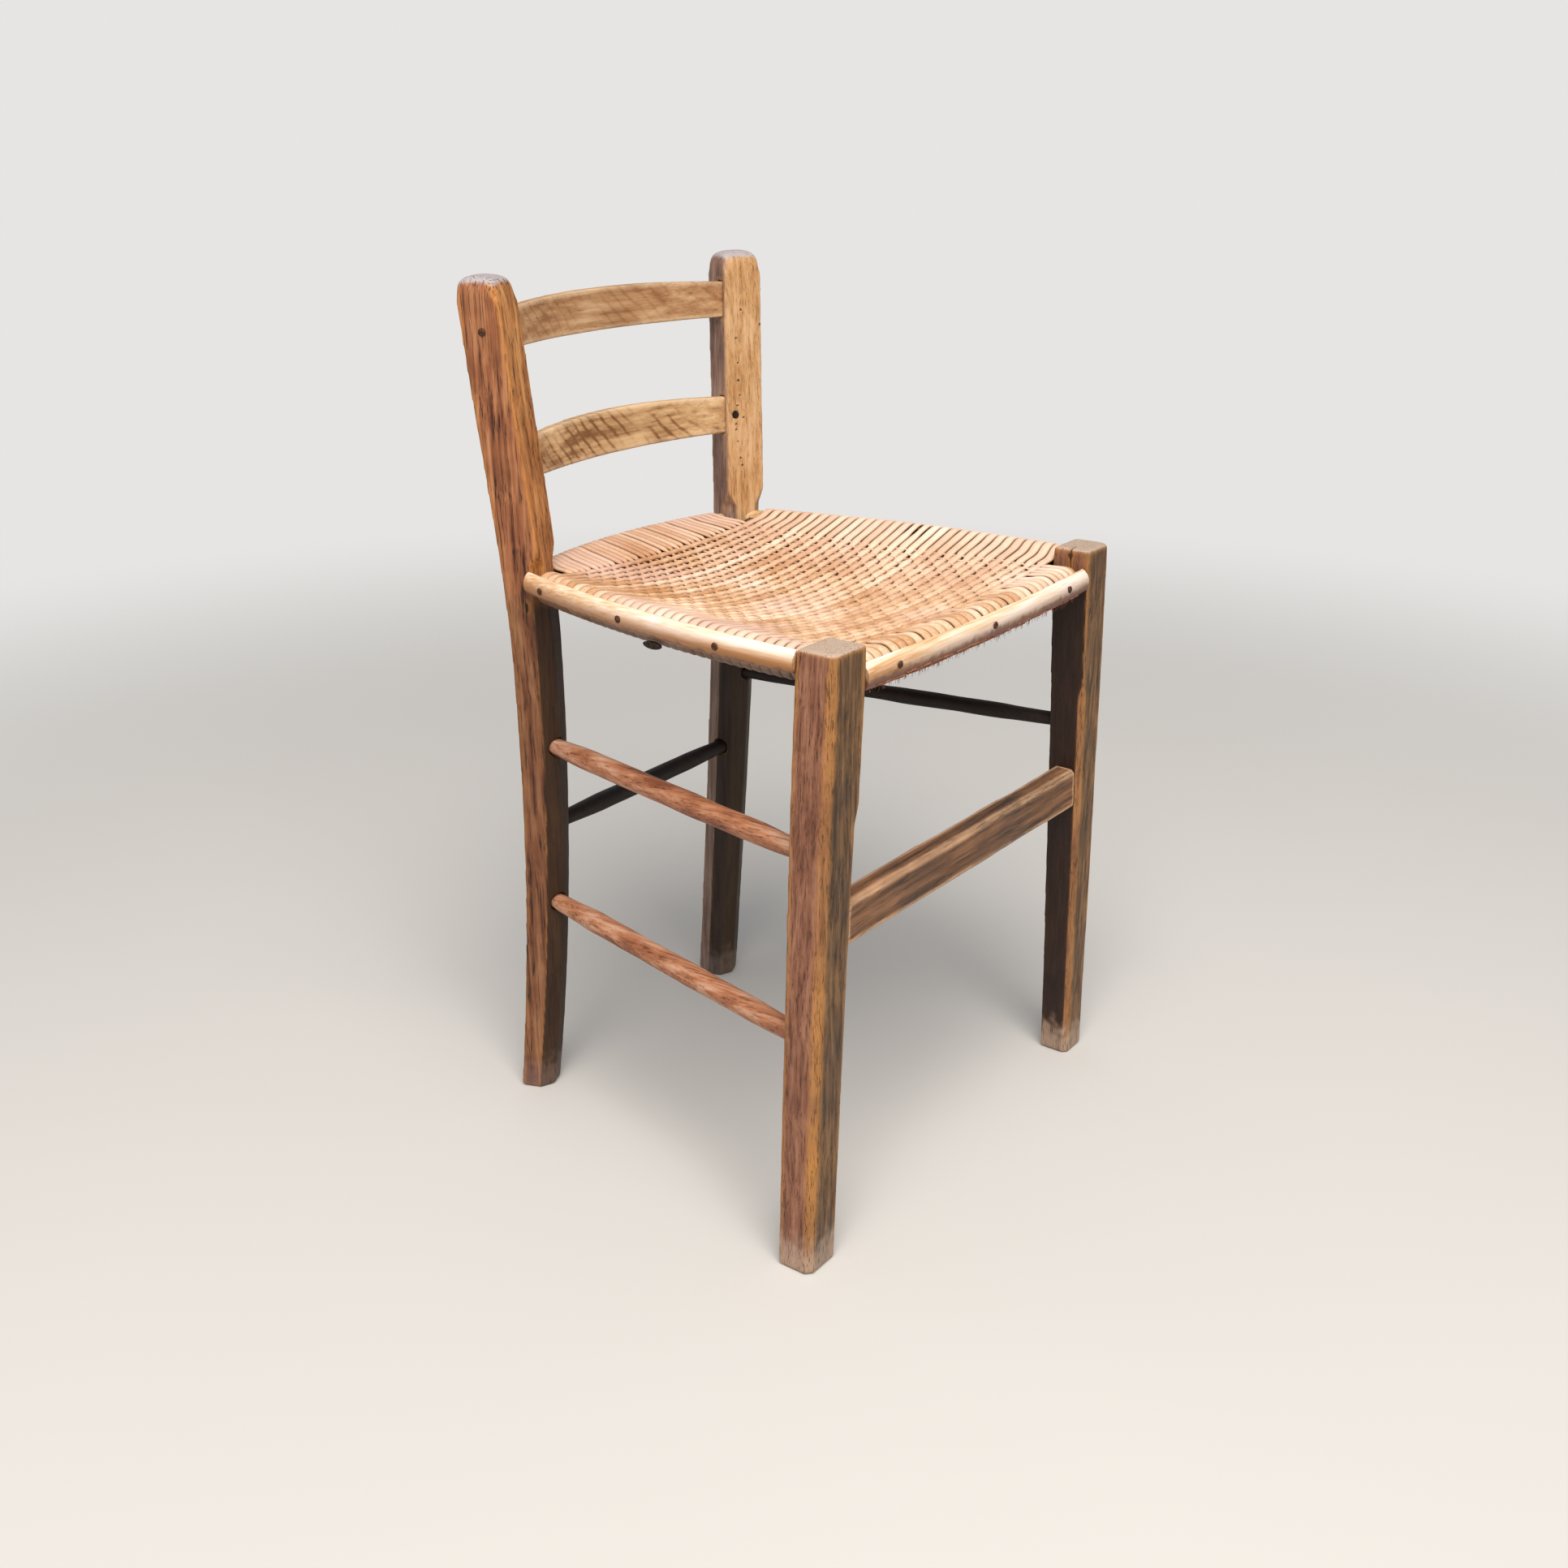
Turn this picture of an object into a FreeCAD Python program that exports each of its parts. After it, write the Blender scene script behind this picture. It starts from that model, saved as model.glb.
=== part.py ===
# Low ladderback chair: two square front legs, two sabre-curved back posts,
# two bowed slats, stretchers, and a cane seat woven round four rails.
# Millimetres, +Z up, the sitter faces -Y, the chair's left is -X.
# Everything is laid out from the middle of the front legs' line, on the floor,
# and the finished pieces are then moved so that the origin is the bottom
# centre of the whole chair.
import FreeCAD, Part
import math
import os

Vector = FreeCAD.Vector
SIDES = {"left": -1, "right": 1}
UP = Vector(0, 0, 1)

# Front legs
LEG_HEIGHT = 450.0
LEG_ABOVE_SEAT = 15.0
LEG_TOP_REACH = 167.5
LEG_FOOT_REACH = 189.5
LEG_BOW = 1.5
LEG_TOP_WIDTH = 36.5
LEG_TOP_DEPTH = 31.0
LEG_FOOT_WIDTH = {"left": 33.5, "right": 30.5}
LEG_FOOT_DEPTH = {"left": 27.5, "right": 25.0}
LEG_OUTER_CHAMFER = 5.0
LEG_INNER_CHAMFER = 4.0
LEG_INNER_CHAMFER_TOP = 330.0
LEG_TOP_ROUND = 2.5

# Back posts, whose reach and set-back are given where the seat meets them
POST_HEIGHT = 656.0
POST_REACH = 127.0
SEAT_LENGTH = 304.5
SEAT_LEVEL = LEG_HEIGHT - LEG_ABOVE_SEAT
POST_FORWARD = {"left": 4.0, "right": 0.0}
POST_SPLAY = 14.4
POST_RAKE = {"left": 18.4, "right": 14.4}
POST_FOOT_REACH = {"left": 124.0, "right": 120.0}
POST_FOOT_SWEEP = 23.0
POST_WIDTH = 35.0
POST_DEPTH = {"left": 31.5, "right": 27.0}
POST_FOOT_WIDTH = 31.0
POST_FOOT_DEPTH = 26.0
POST_TURN = 22.0
POST_CHAMFER = 9.0
POST_CHAMFER_TOP = SEAT_LEVEL + 15.0
POST_TOP_ROUND = 6.0

# Stopped chamfers run out over this height, and feet are eased at the floor
CHAMFER_RUN_OUT = 14.0
FOOT_ROUND = 3.0

# Slats: how far the lower edge is below the posts' tops, and the height at the posts
SLAT_THICKNESS = 9.0
SLAT_SET_BACK = 3.5
SLAT_TENON = 18.0
SLATS = {
    "top_slat": {"drop": 52.0, "height": 28.0, "crest": 3.5, "bow": 20.0},
    "lower_slat": {"drop": 145.0, "height": 29.5, "crest": 4.0, "bow": 17.0},
}

# Flat rail between the front legs
FRONT_RAIL_LEVEL = 238.0
FRONT_RAIL_HEIGHT = 33.0
FRONT_RAIL_THICKNESS = 18.0
FRONT_RAIL_SET_BACK = 3.5
FRONT_RAIL_TENON = 16.0
FRONT_RAIL_SHOULDER = 4.0
FRONT_RAIL_BEVEL = 3.0
FRONT_RAIL_TILT = 0.7

# Round stretchers, by level, with their radius at the middle and at the ends
STRETCHERS = {
    "stretcher_left_upper": {"side": "left", "level": 306.0, "middle": 9.0, "end": 7.0},
    "stretcher_left_lower": {"side": "left", "level": 172.0, "middle": 9.5, "end": 7.5},
    "stretcher_right_upper": {"side": "right", "level": 302.5, "middle": 7.0, "end": 6.2},
}
STRETCHER_TENON = 14.0
BACK_STRETCHER_LEVEL = 234.5
BACK_STRETCHER_MIDDLE = 8.0
BACK_STRETCHER_END = 6.5
STRETCHER_TAPER = 45.0

# Seat rails, round, bowed outwards in plan
RAIL_RADIUS = 10.0
RAIL_TENON_RADIUS = 5.5
RAIL_TENON = 11.0
POST_RAIL_TENON = 9.0
POST_RAIL_OFFSET = 3.0
FRONT_SEAT_RAIL_LEVEL = SEAT_LEVEL - 9.5
SIDE_SEAT_RAIL_LEVEL = SEAT_LEVEL
BACK_SEAT_RAIL_LEVEL = SEAT_LEVEL - 2.0
FRONT_SEAT_RAIL_SET_BACK = 4.0
FRONT_SEAT_RAIL_BOW = 7.0
SIDE_SEAT_RAIL_BOW = 12.0
BACK_SEAT_RAIL_BOW = 19.0

# Woven seat
WEAVE_THICKNESS = 3.0
WEB_THICKNESS = 17.0
SEAT_SAG = 18.0
WEB_DROP = 2.5

# Half-round strips nailed over the seat's edges
SLIP_THICKNESS = 7.0
SIDE_SLIP_HEIGHT = 18.0
FRONT_SLIP_HEIGHT = 20.0
SIDE_SLIP_RISE = 5.0
FRONT_SLIP_RISE = 1.0
SIDE_SLIP_OVERRUN = 8.5
SLIP_NAIL_PITCH = {"front": 115.0, "left": 92.0}
SLIP_NAIL_CENTRE = {"front": -3.0, "left": 170.0}
SLIP_NAIL_RISE = {"front": 2.5, "left": 0.0}
SLIP_NAILS_PER_STRIP = 3
NAIL_HEAD_RADIUS = 2.6
NAIL_HEAD_HEIGHT = 1.0
NAIL_SHANK_RADIUS = 1.0
NAIL_LENGTH = 18.0

# Peg and nail through the back posts, and the nail at the split leg top
PEG_RADIUS = 2.5
PEG_LENGTH = 18.0
PEG_STAND = 0.5
POST_NAIL_HEAD_RADIUS = 2.8
POST_NAIL_LENGTH = 14.0
POST_NAIL_SET_BACK = 15.0
LEG_NAIL_LENGTH = 14.0
LEG_NAIL_HEAD_RADIUS = 1.8
LEG_NAIL_BELOW_TOP = 5.0

# Knot of cane under the left edge
KNOT_LENGTH = 18.0
KNOT_THICKNESS = 7.0
KNOT_PLACE = 142.0
KNOT_ANGLE = 30.0

# Clearances
JOINT_GAP = 0.15
TENON_END_GAP = 0.8
WEAVE_GAP = 0.3
SEAT_GAP = 0.2
NAIL_GAP = 0.1

LOFT_STEPS = 8
EYE = 0.01


def blend(low, high, share):
    """A value part of the way from low to high."""
    return low + (high - low) * share


# Straight pieces of the frame: where they stand and how thick they are

def leg_section(side, z):
    """Centre, width, depth and turn of a front leg at one height."""
    share = z / LEG_HEIGHT
    reach = blend(LEG_FOOT_REACH, LEG_TOP_REACH, share) + LEG_BOW * 4 * share * (1 - share)
    width = blend(LEG_FOOT_WIDTH[side], LEG_TOP_WIDTH, share)
    depth = blend(LEG_FOOT_DEPTH[side], LEG_TOP_DEPTH, share)
    return Vector(SIDES[side] * reach, 0, z), width, depth, 0.0


def post_section(side, z):
    """Centre, width, depth and turn of a back post at one height."""
    above = (z - SEAT_LEVEL) / (POST_HEIGHT - SEAT_LEVEL)
    reach = POST_REACH + POST_SPLAY * above
    back = SEAT_LENGTH - POST_FORWARD[side] + POST_RAKE[side] * max(above, 0.0)
    width = POST_WIDTH
    depth = POST_DEPTH[side]
    if z < SEAT_LEVEL:
        below = 1 - z / SEAT_LEVEL
        straight_foot = POST_REACH - POST_SPLAY * SEAT_LEVEL / (POST_HEIGHT - SEAT_LEVEL)
        reach += (POST_FOOT_REACH[side] - straight_foot) * below ** 2
        back += POST_FOOT_SWEEP * below ** 2
        width = blend(POST_WIDTH, POST_FOOT_WIDTH, below)
        depth = blend(POST_DEPTH[side], POST_FOOT_DEPTH, below)
    return Vector(SIDES[side] * reach, back, z), width, depth, -SIDES[side] * POST_TURN


def section_point(section, across, along):
    """A point of a section, across its width and along its depth from its centre."""
    centre, width, depth, turn = section
    angle = math.radians(turn)
    x = across * math.cos(angle) - along * math.sin(angle)
    y = across * math.sin(angle) + along * math.cos(angle)
    return centre + Vector(x, y, 0)


def polygon(points):
    """A closed wire of straight edges."""
    return Part.makePolygon(points + [points[0]])


def stations(low, high):
    """Evenly spaced heights from low to high."""
    return [blend(low, high, i / LOFT_STEPS) for i in range(LOFT_STEPS + 1)]


def upright(section_at, side, height, grow=0.0):
    """A leg or post lofted through its sections, larger all round by grow."""
    wires = []
    for z in stations(0.0, height):
        section = section_at(side, z)
        half_width = section[1] / 2 + grow
        half_depth = section[2] / 2 + grow
        corners = [(-1, -1), (1, -1), (1, 1), (-1, 1)]
        wires.append(polygon([section_point(section, x * half_width, y * half_depth) for x, y in corners]))
    return Part.makeLoft(wires, True, False)


def chamfer_cutter(section_at, side, across, size, low, high):
    """The wedge that takes a front corner off an upright, across being -1 or 1."""
    overlap = 3.0

    def wedge(z, cut):
        section = section_at(side, z)
        x = across * section[1] / 2
        y = -section[2] / 2
        points = [
            (x + across * overlap, y - overlap),
            (x - across * (cut + overlap), y - overlap),
            (x + across * overlap, y + cut + overlap),
        ]
        return polygon([section_point(section, a, b) for a, b in points])

    long_part = Part.makeLoft([wedge(z, size) for z in stations(low, high)], True, False)
    run_out = Part.makeLoft([wedge(high, size), wedge(high + CHAMFER_RUN_OUT, EYE)], True, True)
    return [long_part, run_out]


def flat_edges(shape, height):
    """The edges of a shape that lie at one height."""
    found = []
    for edge in shape.Edges:
        box = edge.BoundBox
        if abs(box.ZMin - height) < EYE and abs(box.ZMax - height) < EYE:
            found.append(edge)
    return found


def front_leg(side):
    """A front leg with its chamfers, an eased top and a worn foot."""
    leg = upright(leg_section, side, LEG_HEIGHT)
    outward = SIDES[side]
    cutters = chamfer_cutter(leg_section, side, outward, LEG_OUTER_CHAMFER, 0.0, LEG_HEIGHT)
    cutters += chamfer_cutter(leg_section, side, -outward, LEG_INNER_CHAMFER, 0.0, LEG_INNER_CHAMFER_TOP)
    leg = leg.cut(cutters)
    leg = leg.makeFillet(LEG_TOP_ROUND, flat_edges(leg, LEG_HEIGHT))
    return leg.makeFillet(FOOT_ROUND, flat_edges(leg, 0.0))


def back_post(side):
    """A back post with chamfered front corners below the seat and a worn top."""
    post = upright(post_section, side, POST_HEIGHT)
    cutters = []
    for across in (-1, 1):
        cutters += chamfer_cutter(post_section, side, across, POST_CHAMFER, 0.0, POST_CHAMFER_TOP)
    post = post.cut(cutters)
    post = post.makeFillet(POST_TOP_ROUND, flat_edges(post, POST_HEIGHT))
    return post.makeFillet(FOOT_ROUND, flat_edges(post, 0.0))


# Bars and slats

def tapered_bar(start, end, middle_radius, end_radius, grow=0.0, longer=0.0):
    """A round bar from start to end, full in the middle and thinner near its ends."""
    direction = (end - start).normalize()
    length = (end - start).Length
    profile = [
        (-longer, 0.0),
        (-longer, end_radius + grow),
        (STRETCHER_TENON, end_radius + grow),
        (STRETCHER_TENON + STRETCHER_TAPER, middle_radius + grow),
        (length - STRETCHER_TENON - STRETCHER_TAPER, middle_radius + grow),
        (length - STRETCHER_TENON, end_radius + grow),
        (length + longer, end_radius + grow),
        (length + longer, 0.0),
    ]
    outline = Part.Face(polygon([Vector(radius, 0, along) for along, radius in profile]))
    bar = outline.revolve(Vector(0, 0, 0), UP, 360)
    turn = FreeCAD.Rotation(UP, direction)
    bar.Placement = FreeCAD.Placement(start, turn)
    return bar


def side_stretcher_ends(side, level):
    """Where a side stretcher's tenons end, inside the leg and inside the post."""
    leg = leg_section(side, level)
    post = post_section(side, level)
    start = section_point(leg, 0, leg[2] / 2 - STRETCHER_TENON)
    end = section_point(post, 0, STRETCHER_TENON - post[2] / 2)
    return start, end


def back_stretcher_ends():
    """Where the back stretcher's tenons end inside the two posts."""
    ends = []
    for side, outward in SIDES.items():
        post = post_section(side, BACK_STRETCHER_LEVEL)
        ends.append(section_point(post, outward * (STRETCHER_TENON - post[1] / 2), 0))
    return ends


def stretcher_ends(name):
    """The two ends of a named stretcher."""
    if name == "stretcher_back":
        return back_stretcher_ends()
    return side_stretcher_ends(STRETCHERS[name]["side"], STRETCHERS[name]["level"])


def stretcher(name, grow=0.0, longer=0.0):
    """A named stretcher, or its mortise cutter when grown."""
    if name == "stretcher_back":
        middle, end = BACK_STRETCHER_MIDDLE, BACK_STRETCHER_END
    else:
        middle, end = STRETCHERS[name]["middle"], STRETCHERS[name]["end"]
    return tapered_bar(*stretcher_ends(name), middle, end, grow, longer)


def arc_through(start, middle, end):
    """One arc as an edge."""
    return Part.Arc(start, middle, end).toShape()


def offset_arc(edge, distance):
    """Start, middle and end of an arc moved sideways in plan, outwards from its bow."""
    first, last = edge.ParameterRange
    centre = edge.Curve.Center
    points = []
    for share in (0.0, 0.5, 1.0):
        point = edge.valueAt(blend(first, last, share))
        outward = (point - centre).normalize()
        points.append(point + outward * distance)
    return points


def slat_level(name):
    """The height of a slat's lower edge."""
    return POST_HEIGHT - SLATS[name]["drop"]


def slat_middle(name):
    """The height of the middle of a slat's tenons."""
    return slat_level(name) + SLATS[name]["height"] / 2


def slat(name, grow=0.0, longer=0.0):
    """A slat bowed backwards in plan and crested on top, with its two tenons."""
    size = SLATS[name]
    middle_level = slat_middle(name)
    entries = []
    for side, outward in SIDES.items():
        post = post_section(side, middle_level)
        along = SLAT_SET_BACK + SLAT_THICKNESS / 2 - post[2] / 2
        entries.append(section_point(post, -outward * post[1] / 2, along))
    mid = (entries[0] + entries[1]) * 0.5 + Vector(0, size["bow"], 0)
    arc = arc_through(entries[0], mid, entries[1])
    radius = arc.Curve.Radius
    centre = Vector(arc.Curve.Center.x, arc.Curve.Center.y, 0)
    extra = (SLAT_TENON + longer) / radius
    first = math.atan2(entries[1].y - centre.y, entries[1].x - centre.x) - extra
    last = math.atan2(entries[0].y - centre.y, entries[0].x - centre.x) + extra

    def plan_point(angle, offset):
        reach = radius + offset
        return centre + Vector(reach * math.cos(angle), reach * math.sin(angle), 0)

    half = SLAT_THICKNESS / 2 + grow
    middle_angle = (first + last) / 2
    front = arc_through(plan_point(first, -half), plan_point(middle_angle, -half), plan_point(last, -half))
    back = arc_through(plan_point(last, half), plan_point(middle_angle, half), plan_point(first, half))
    sides = [
        Part.makeLine(plan_point(last, -half), plan_point(last, half)),
        Part.makeLine(plan_point(first, half), plan_point(first, -half)),
    ]
    band = Part.Face(Part.Wire(Part.__sortEdges__([front, back] + sides)))
    low = slat_level(name) - grow
    high = slat_level(name) + size["height"] + grow
    tall = high + size["crest"]
    lean = sum(POST_RAKE.values()) / len(SIDES) / (POST_HEIGHT - SEAT_LEVEL)
    band.translate(Vector(0, lean * (low - middle_level), low))
    body = band.extrude(Vector(0, lean * (tall - low), tall - low))
    left, right = [Vector(entry.x, 0, high) for entry in entries]
    wide = right.x + SLAT_TENON + longer + SLAT_THICKNESS
    crest_edge = arc_through(left, (left + right) * 0.5 + Vector(0, 0, size["crest"]), right)
    corners = [(-wide, high), (-wide, low), (wide, low), (wide, high)]
    outline = [left] + [Vector(x, 0, z) for x, z in corners] + [right]
    edges = [Part.makeLine(a, b) for a, b in zip(outline, outline[1:])]
    edges.append(crest_edge)
    elevation = Part.Face(Part.Wire(Part.__sortEdges__(edges)))
    depth = SEAT_LENGTH + POST_HEIGHT
    return body.common(elevation.extrude(Vector(0, depth, 0)))


def box_between(x_half, y_low, y_high, z_low, z_high):
    """A box centred across the chair."""
    corner = Vector(-x_half, y_low, z_low)
    return Part.makeBox(2 * x_half, y_high - y_low, z_high - z_low, corner)


def tilted(shape):
    """A part of the flat rail, turned a little so that its right end is lower."""
    middle = Vector(0, 0, FRONT_RAIL_LEVEL + FRONT_RAIL_HEIGHT / 2)
    return shape.rotate(middle, Vector(0, 1, 0), FRONT_RAIL_TILT)


def front_rail_tenon(grow=0.0, longer=0.0):
    """The tongue that runs through the flat rail and into both front legs."""
    level = FRONT_RAIL_LEVEL + FRONT_RAIL_HEIGHT / 2
    leg = leg_section("left", level)
    front = FRONT_RAIL_SET_BACK - leg[2] / 2
    inner_reach = -leg[0].x - leg[1] / 2
    tongue = box_between(
        inner_reach + FRONT_RAIL_TENON + longer,
        front + FRONT_RAIL_SHOULDER - grow,
        front + FRONT_RAIL_THICKNESS - FRONT_RAIL_SHOULDER + grow,
        FRONT_RAIL_LEVEL + FRONT_RAIL_SHOULDER - grow,
        FRONT_RAIL_LEVEL + FRONT_RAIL_HEIGHT - FRONT_RAIL_SHOULDER + grow,
    )
    return tilted(tongue)


def front_rail():
    """The flat rail between the front legs, its upper front edge worn to a bevel."""
    leg = leg_section("left", FRONT_RAIL_LEVEL)
    front = FRONT_RAIL_SET_BACK - leg_section("left", FRONT_RAIL_LEVEL + FRONT_RAIL_HEIGHT / 2)[2] / 2
    top = FRONT_RAIL_LEVEL + FRONT_RAIL_HEIGHT
    back = front + FRONT_RAIL_THICKNESS
    profile = [
        (front, FRONT_RAIL_LEVEL),
        (back, FRONT_RAIL_LEVEL),
        (back, top),
        (front + FRONT_RAIL_BEVEL, top),
        (front, top - FRONT_RAIL_BEVEL),
    ]
    face = Part.Face(polygon([Vector(leg[0].x, y, z) for y, z in profile]))
    body = tilted(face.extrude(Vector(-2 * leg[0].x, 0, 0)))
    for side in SIDES:
        body = body.cut(upright(leg_section, side, LEG_HEIGHT, JOINT_GAP))
    return body.fuse(front_rail_tenon()).removeSplitter()


# Seat rails and the weave round them

def seat_rail_path(name):
    """The bowed centre line of a seat rail, from tenon end to tenon end."""
    if name == "front":
        ends = []
        for side, outward in SIDES.items():
            leg = leg_section(side, FRONT_SEAT_RAIL_LEVEL)
            ends.append(section_point(leg, outward * (RAIL_TENON - leg[1] / 2), FRONT_SEAT_RAIL_SET_BACK))
        bow = Vector(0, -FRONT_SEAT_RAIL_BOW, 0)
    elif name == "back":
        ends = []
        for side, outward in SIDES.items():
            post = post_section(side, BACK_SEAT_RAIL_LEVEL)
            ends.append(section_point(post, outward * (RAIL_TENON - post[1] / 2), 0))
        bow = Vector(0, BACK_SEAT_RAIL_BOW, 0)
    else:
        leg = leg_section(name, SIDE_SEAT_RAIL_LEVEL)
        post = post_section(name, SIDE_SEAT_RAIL_LEVEL)
        rail_end = section_point(post, SIDES[name] * POST_RAIL_OFFSET, POST_RAIL_TENON - post[2] / 2)
        ends = [section_point(leg, 0, leg[2] / 2 - RAIL_TENON), rail_end]
        across = (ends[1] - ends[0]).cross(UP).normalize()
        bow = across * (SIDES[name] * SIDE_SEAT_RAIL_BOW)
    return arc_through(ends[0], (ends[0] + ends[1]) * 0.5 + bow, ends[1])


def tube_along(edge, radius):
    """A round rod that follows one edge."""
    start = edge.valueAt(edge.FirstParameter)
    tangent = edge.tangentAt(edge.FirstParameter)
    circle = Part.Wire(Part.makeCircle(radius, start, tangent))
    return Part.Wire(edge).makePipeShell([circle], True, False)


def longer_arc(edge, extra):
    """The same arc, run on past both of its ends."""
    share = extra / edge.Curve.Radius
    return Part.ArcOfCircle(edge.Curve, edge.FirstParameter - share, edge.LastParameter + share).toShape()


def seat_rail(name):
    """A seat rail with its shoulders at the uprights and a thinner tenon in each."""
    path = seat_rail_path(name)
    body = tube_along(path, RAIL_RADIUS).cut(uprights(JOINT_GAP))
    return body.fuse(tube_along(path, RAIL_TENON_RADIUS)).removeSplitter()


def uprights(grow):
    """All four legs and posts, without their chamfers, larger all round by grow."""
    shapes = []
    for side in SIDES:
        shapes.append(upright(leg_section, side, LEG_HEIGHT, grow))
        shapes.append(upright(post_section, side, POST_HEIGHT, grow))
    return shapes


def flat_copy(edge):
    """An arc's start, middle and end brought down to the floor."""
    first, last = edge.ParameterRange
    points = [edge.valueAt(blend(first, last, share)) for share in (0.0, 0.5, 1.0)]
    return [Vector(point.x, point.y, 0) for point in points]


def seat_web():
    """The dished sheet of weave inside the rails' centre lines."""
    order = [("front", False), ("right", False), ("back", True), ("left", True)]
    runs = []
    for name, backwards in order:
        points = flat_copy(seat_rail_path(name))
        runs.append(points[::-1] if backwards else points)
    edges = []
    for index, run in enumerate(runs):
        edges.append(arc_through(*run))
        edges.append(Part.makeLine(run[2], runs[(index + 1) % len(runs)][0]))
    outline = Part.Face(Part.Wire(edges)).extrude(Vector(0, 0, POST_HEIGHT))
    over_rail = RAIL_RADIUS + WEAVE_THICKNESS - WEB_DROP
    front_top = FRONT_SEAT_RAIL_LEVEL + over_rail
    back_top = BACK_SEAT_RAIL_LEVEL + over_rail
    side_top = SIDE_SEAT_RAIL_LEVEL + over_rail
    beyond = 2 * RAIL_RADIUS
    wires = []
    for y in stations(-beyond, SEAT_LENGTH + 2 * BACK_SEAT_RAIL_BOW):
        share = min(max(y / SEAT_LENGTH, 0.0), 1.0)
        dish = 4 * share * (1 - share)
        rim = blend(front_top, back_top, share)
        middle = rim - SEAT_SAG * dish
        edge_rise = max(side_top - rim, 0.0) * math.sqrt(dish)
        reach = blend(LEG_TOP_REACH, POST_REACH, share)
        wide = reach + SIDE_SEAT_RAIL_BOW + beyond
        edge_top = middle + (rim + edge_rise - middle) * (wide / reach) ** 2
        top = [Vector(-wide, y, edge_top), Vector(0, y, middle), Vector(wide, y, edge_top)]
        low = [point - Vector(0, 0, WEB_THICKNESS) for point in top]
        curves = [curve_over(top), Part.makeLine(top[2], low[2])]
        curves += [curve_over(low[::-1]), Part.makeLine(low[0], top[0])]
        wires.append(Part.Wire(curves))
    return Part.makeLoft(wires, True, False).common(outline)


def curve_over(points):
    """A smooth edge through three points, straight ones included."""
    curve = Part.BSplineCurve()
    curve.interpolate(points)
    return curve.toShape()


def woven_seat():
    """The weave: rolls round the four rails and the dished web between them."""
    seat = seat_web()
    for name in RAIL_NAMES:
        seat = seat.fuse(tube_along(seat_rail_path(name), RAIL_RADIUS + WEAVE_THICKNESS))
    for name in RAIL_NAMES:
        seat = seat.cut(tube_along(longer_arc(seat_rail_path(name), EYE), RAIL_RADIUS + SEAT_GAP))
    for solid in uprights(WEAVE_GAP):
        seat = seat.cut(solid)
    return seat


RAIL_NAMES = ("front", "back", "left", "right")
SLIP_NAMES = ("front", "left")


def slip_path(name):
    """The line that a strip's flat back follows, outside the weave."""
    path = seat_rail_path(name)
    points = offset_arc(path, RAIL_RADIUS + WEAVE_THICKNESS + WEAVE_GAP)
    rise = FRONT_SLIP_RISE if name == "front" else SIDE_SLIP_RISE
    return arc_through(*[point + Vector(0, 0, rise) for point in points])


def slip_height(name):
    """How tall a strip is."""
    return FRONT_SLIP_HEIGHT if name == "front" else SIDE_SLIP_HEIGHT


def seat_slip(name):
    """A half-round strip outside one edge of the weave."""
    path = slip_path(name)
    start = path.valueAt(path.FirstParameter)
    outward = (start - path.Curve.Center).normalize()
    half = Vector(0, 0, slip_height(name) / 2)
    round_side = arc_through(start - half, start + outward * SLIP_THICKNESS, start + half)
    flat_side = Part.makeLine(start + half, start - half)
    strip = Part.Wire(path).makePipeShell([Part.Wire([round_side, flat_side])], True, False)
    if name == "front":
        leg = leg_section("left", FRONT_SEAT_RAIL_LEVEL + slip_height(name) / 2)
        reach = -leg[0].x - leg[1] / 2 - WEAVE_GAP
        return strip.common(box_between(reach, -SEAT_LENGTH, SEAT_LENGTH, 0.0, POST_HEIGHT))
    post = post_section(name, SIDE_SEAT_RAIL_LEVEL)
    corner = section_point(post, SIDES[name] * post[1] / 2, -post[2] / 2)
    rear = corner.y + SIDE_SLIP_OVERRUN
    strip = strip.common(box_between(SEAT_LENGTH, -LEG_TOP_DEPTH, rear, 0.0, POST_HEIGHT))
    pieces = strip.cut(uprights(WEAVE_GAP)).Solids
    return max(pieces, key=lambda solid: solid.Volume)


def slip_face(name, rise):
    """How far a strip's round face stands out from its back, at a height above its middle."""
    half = slip_height(name) / 2
    radius = (half ** 2 + SLIP_THICKNESS ** 2) / (2 * SLIP_THICKNESS)
    return math.sqrt(radius ** 2 - rise ** 2) - (radius - SLIP_THICKNESS)


# Nails, pegs and the knot

def nail(head_place, outward, head_radius, shank_radius, length, grow=0.0, sunk=False):
    """A nail with a low round head, its shank running in against outward."""
    inward = outward * -1
    shank = Part.makeCylinder(shank_radius + grow, length + grow, head_place, inward)
    if sunk:
        return shank
    head = Part.makeCylinder(head_radius, NAIL_HEAD_HEIGHT, head_place, outward)
    rim = [edge for edge in head.Edges if edge.Curve.TypeId == "Part::GeomCircle"]
    top = max(rim, key=lambda edge: edge.CenterOfMass.dot(outward))
    head = head.makeChamfer(NAIL_HEAD_HEIGHT * 0.6, [top])
    return head.fuse(shank).removeSplitter()


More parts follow.
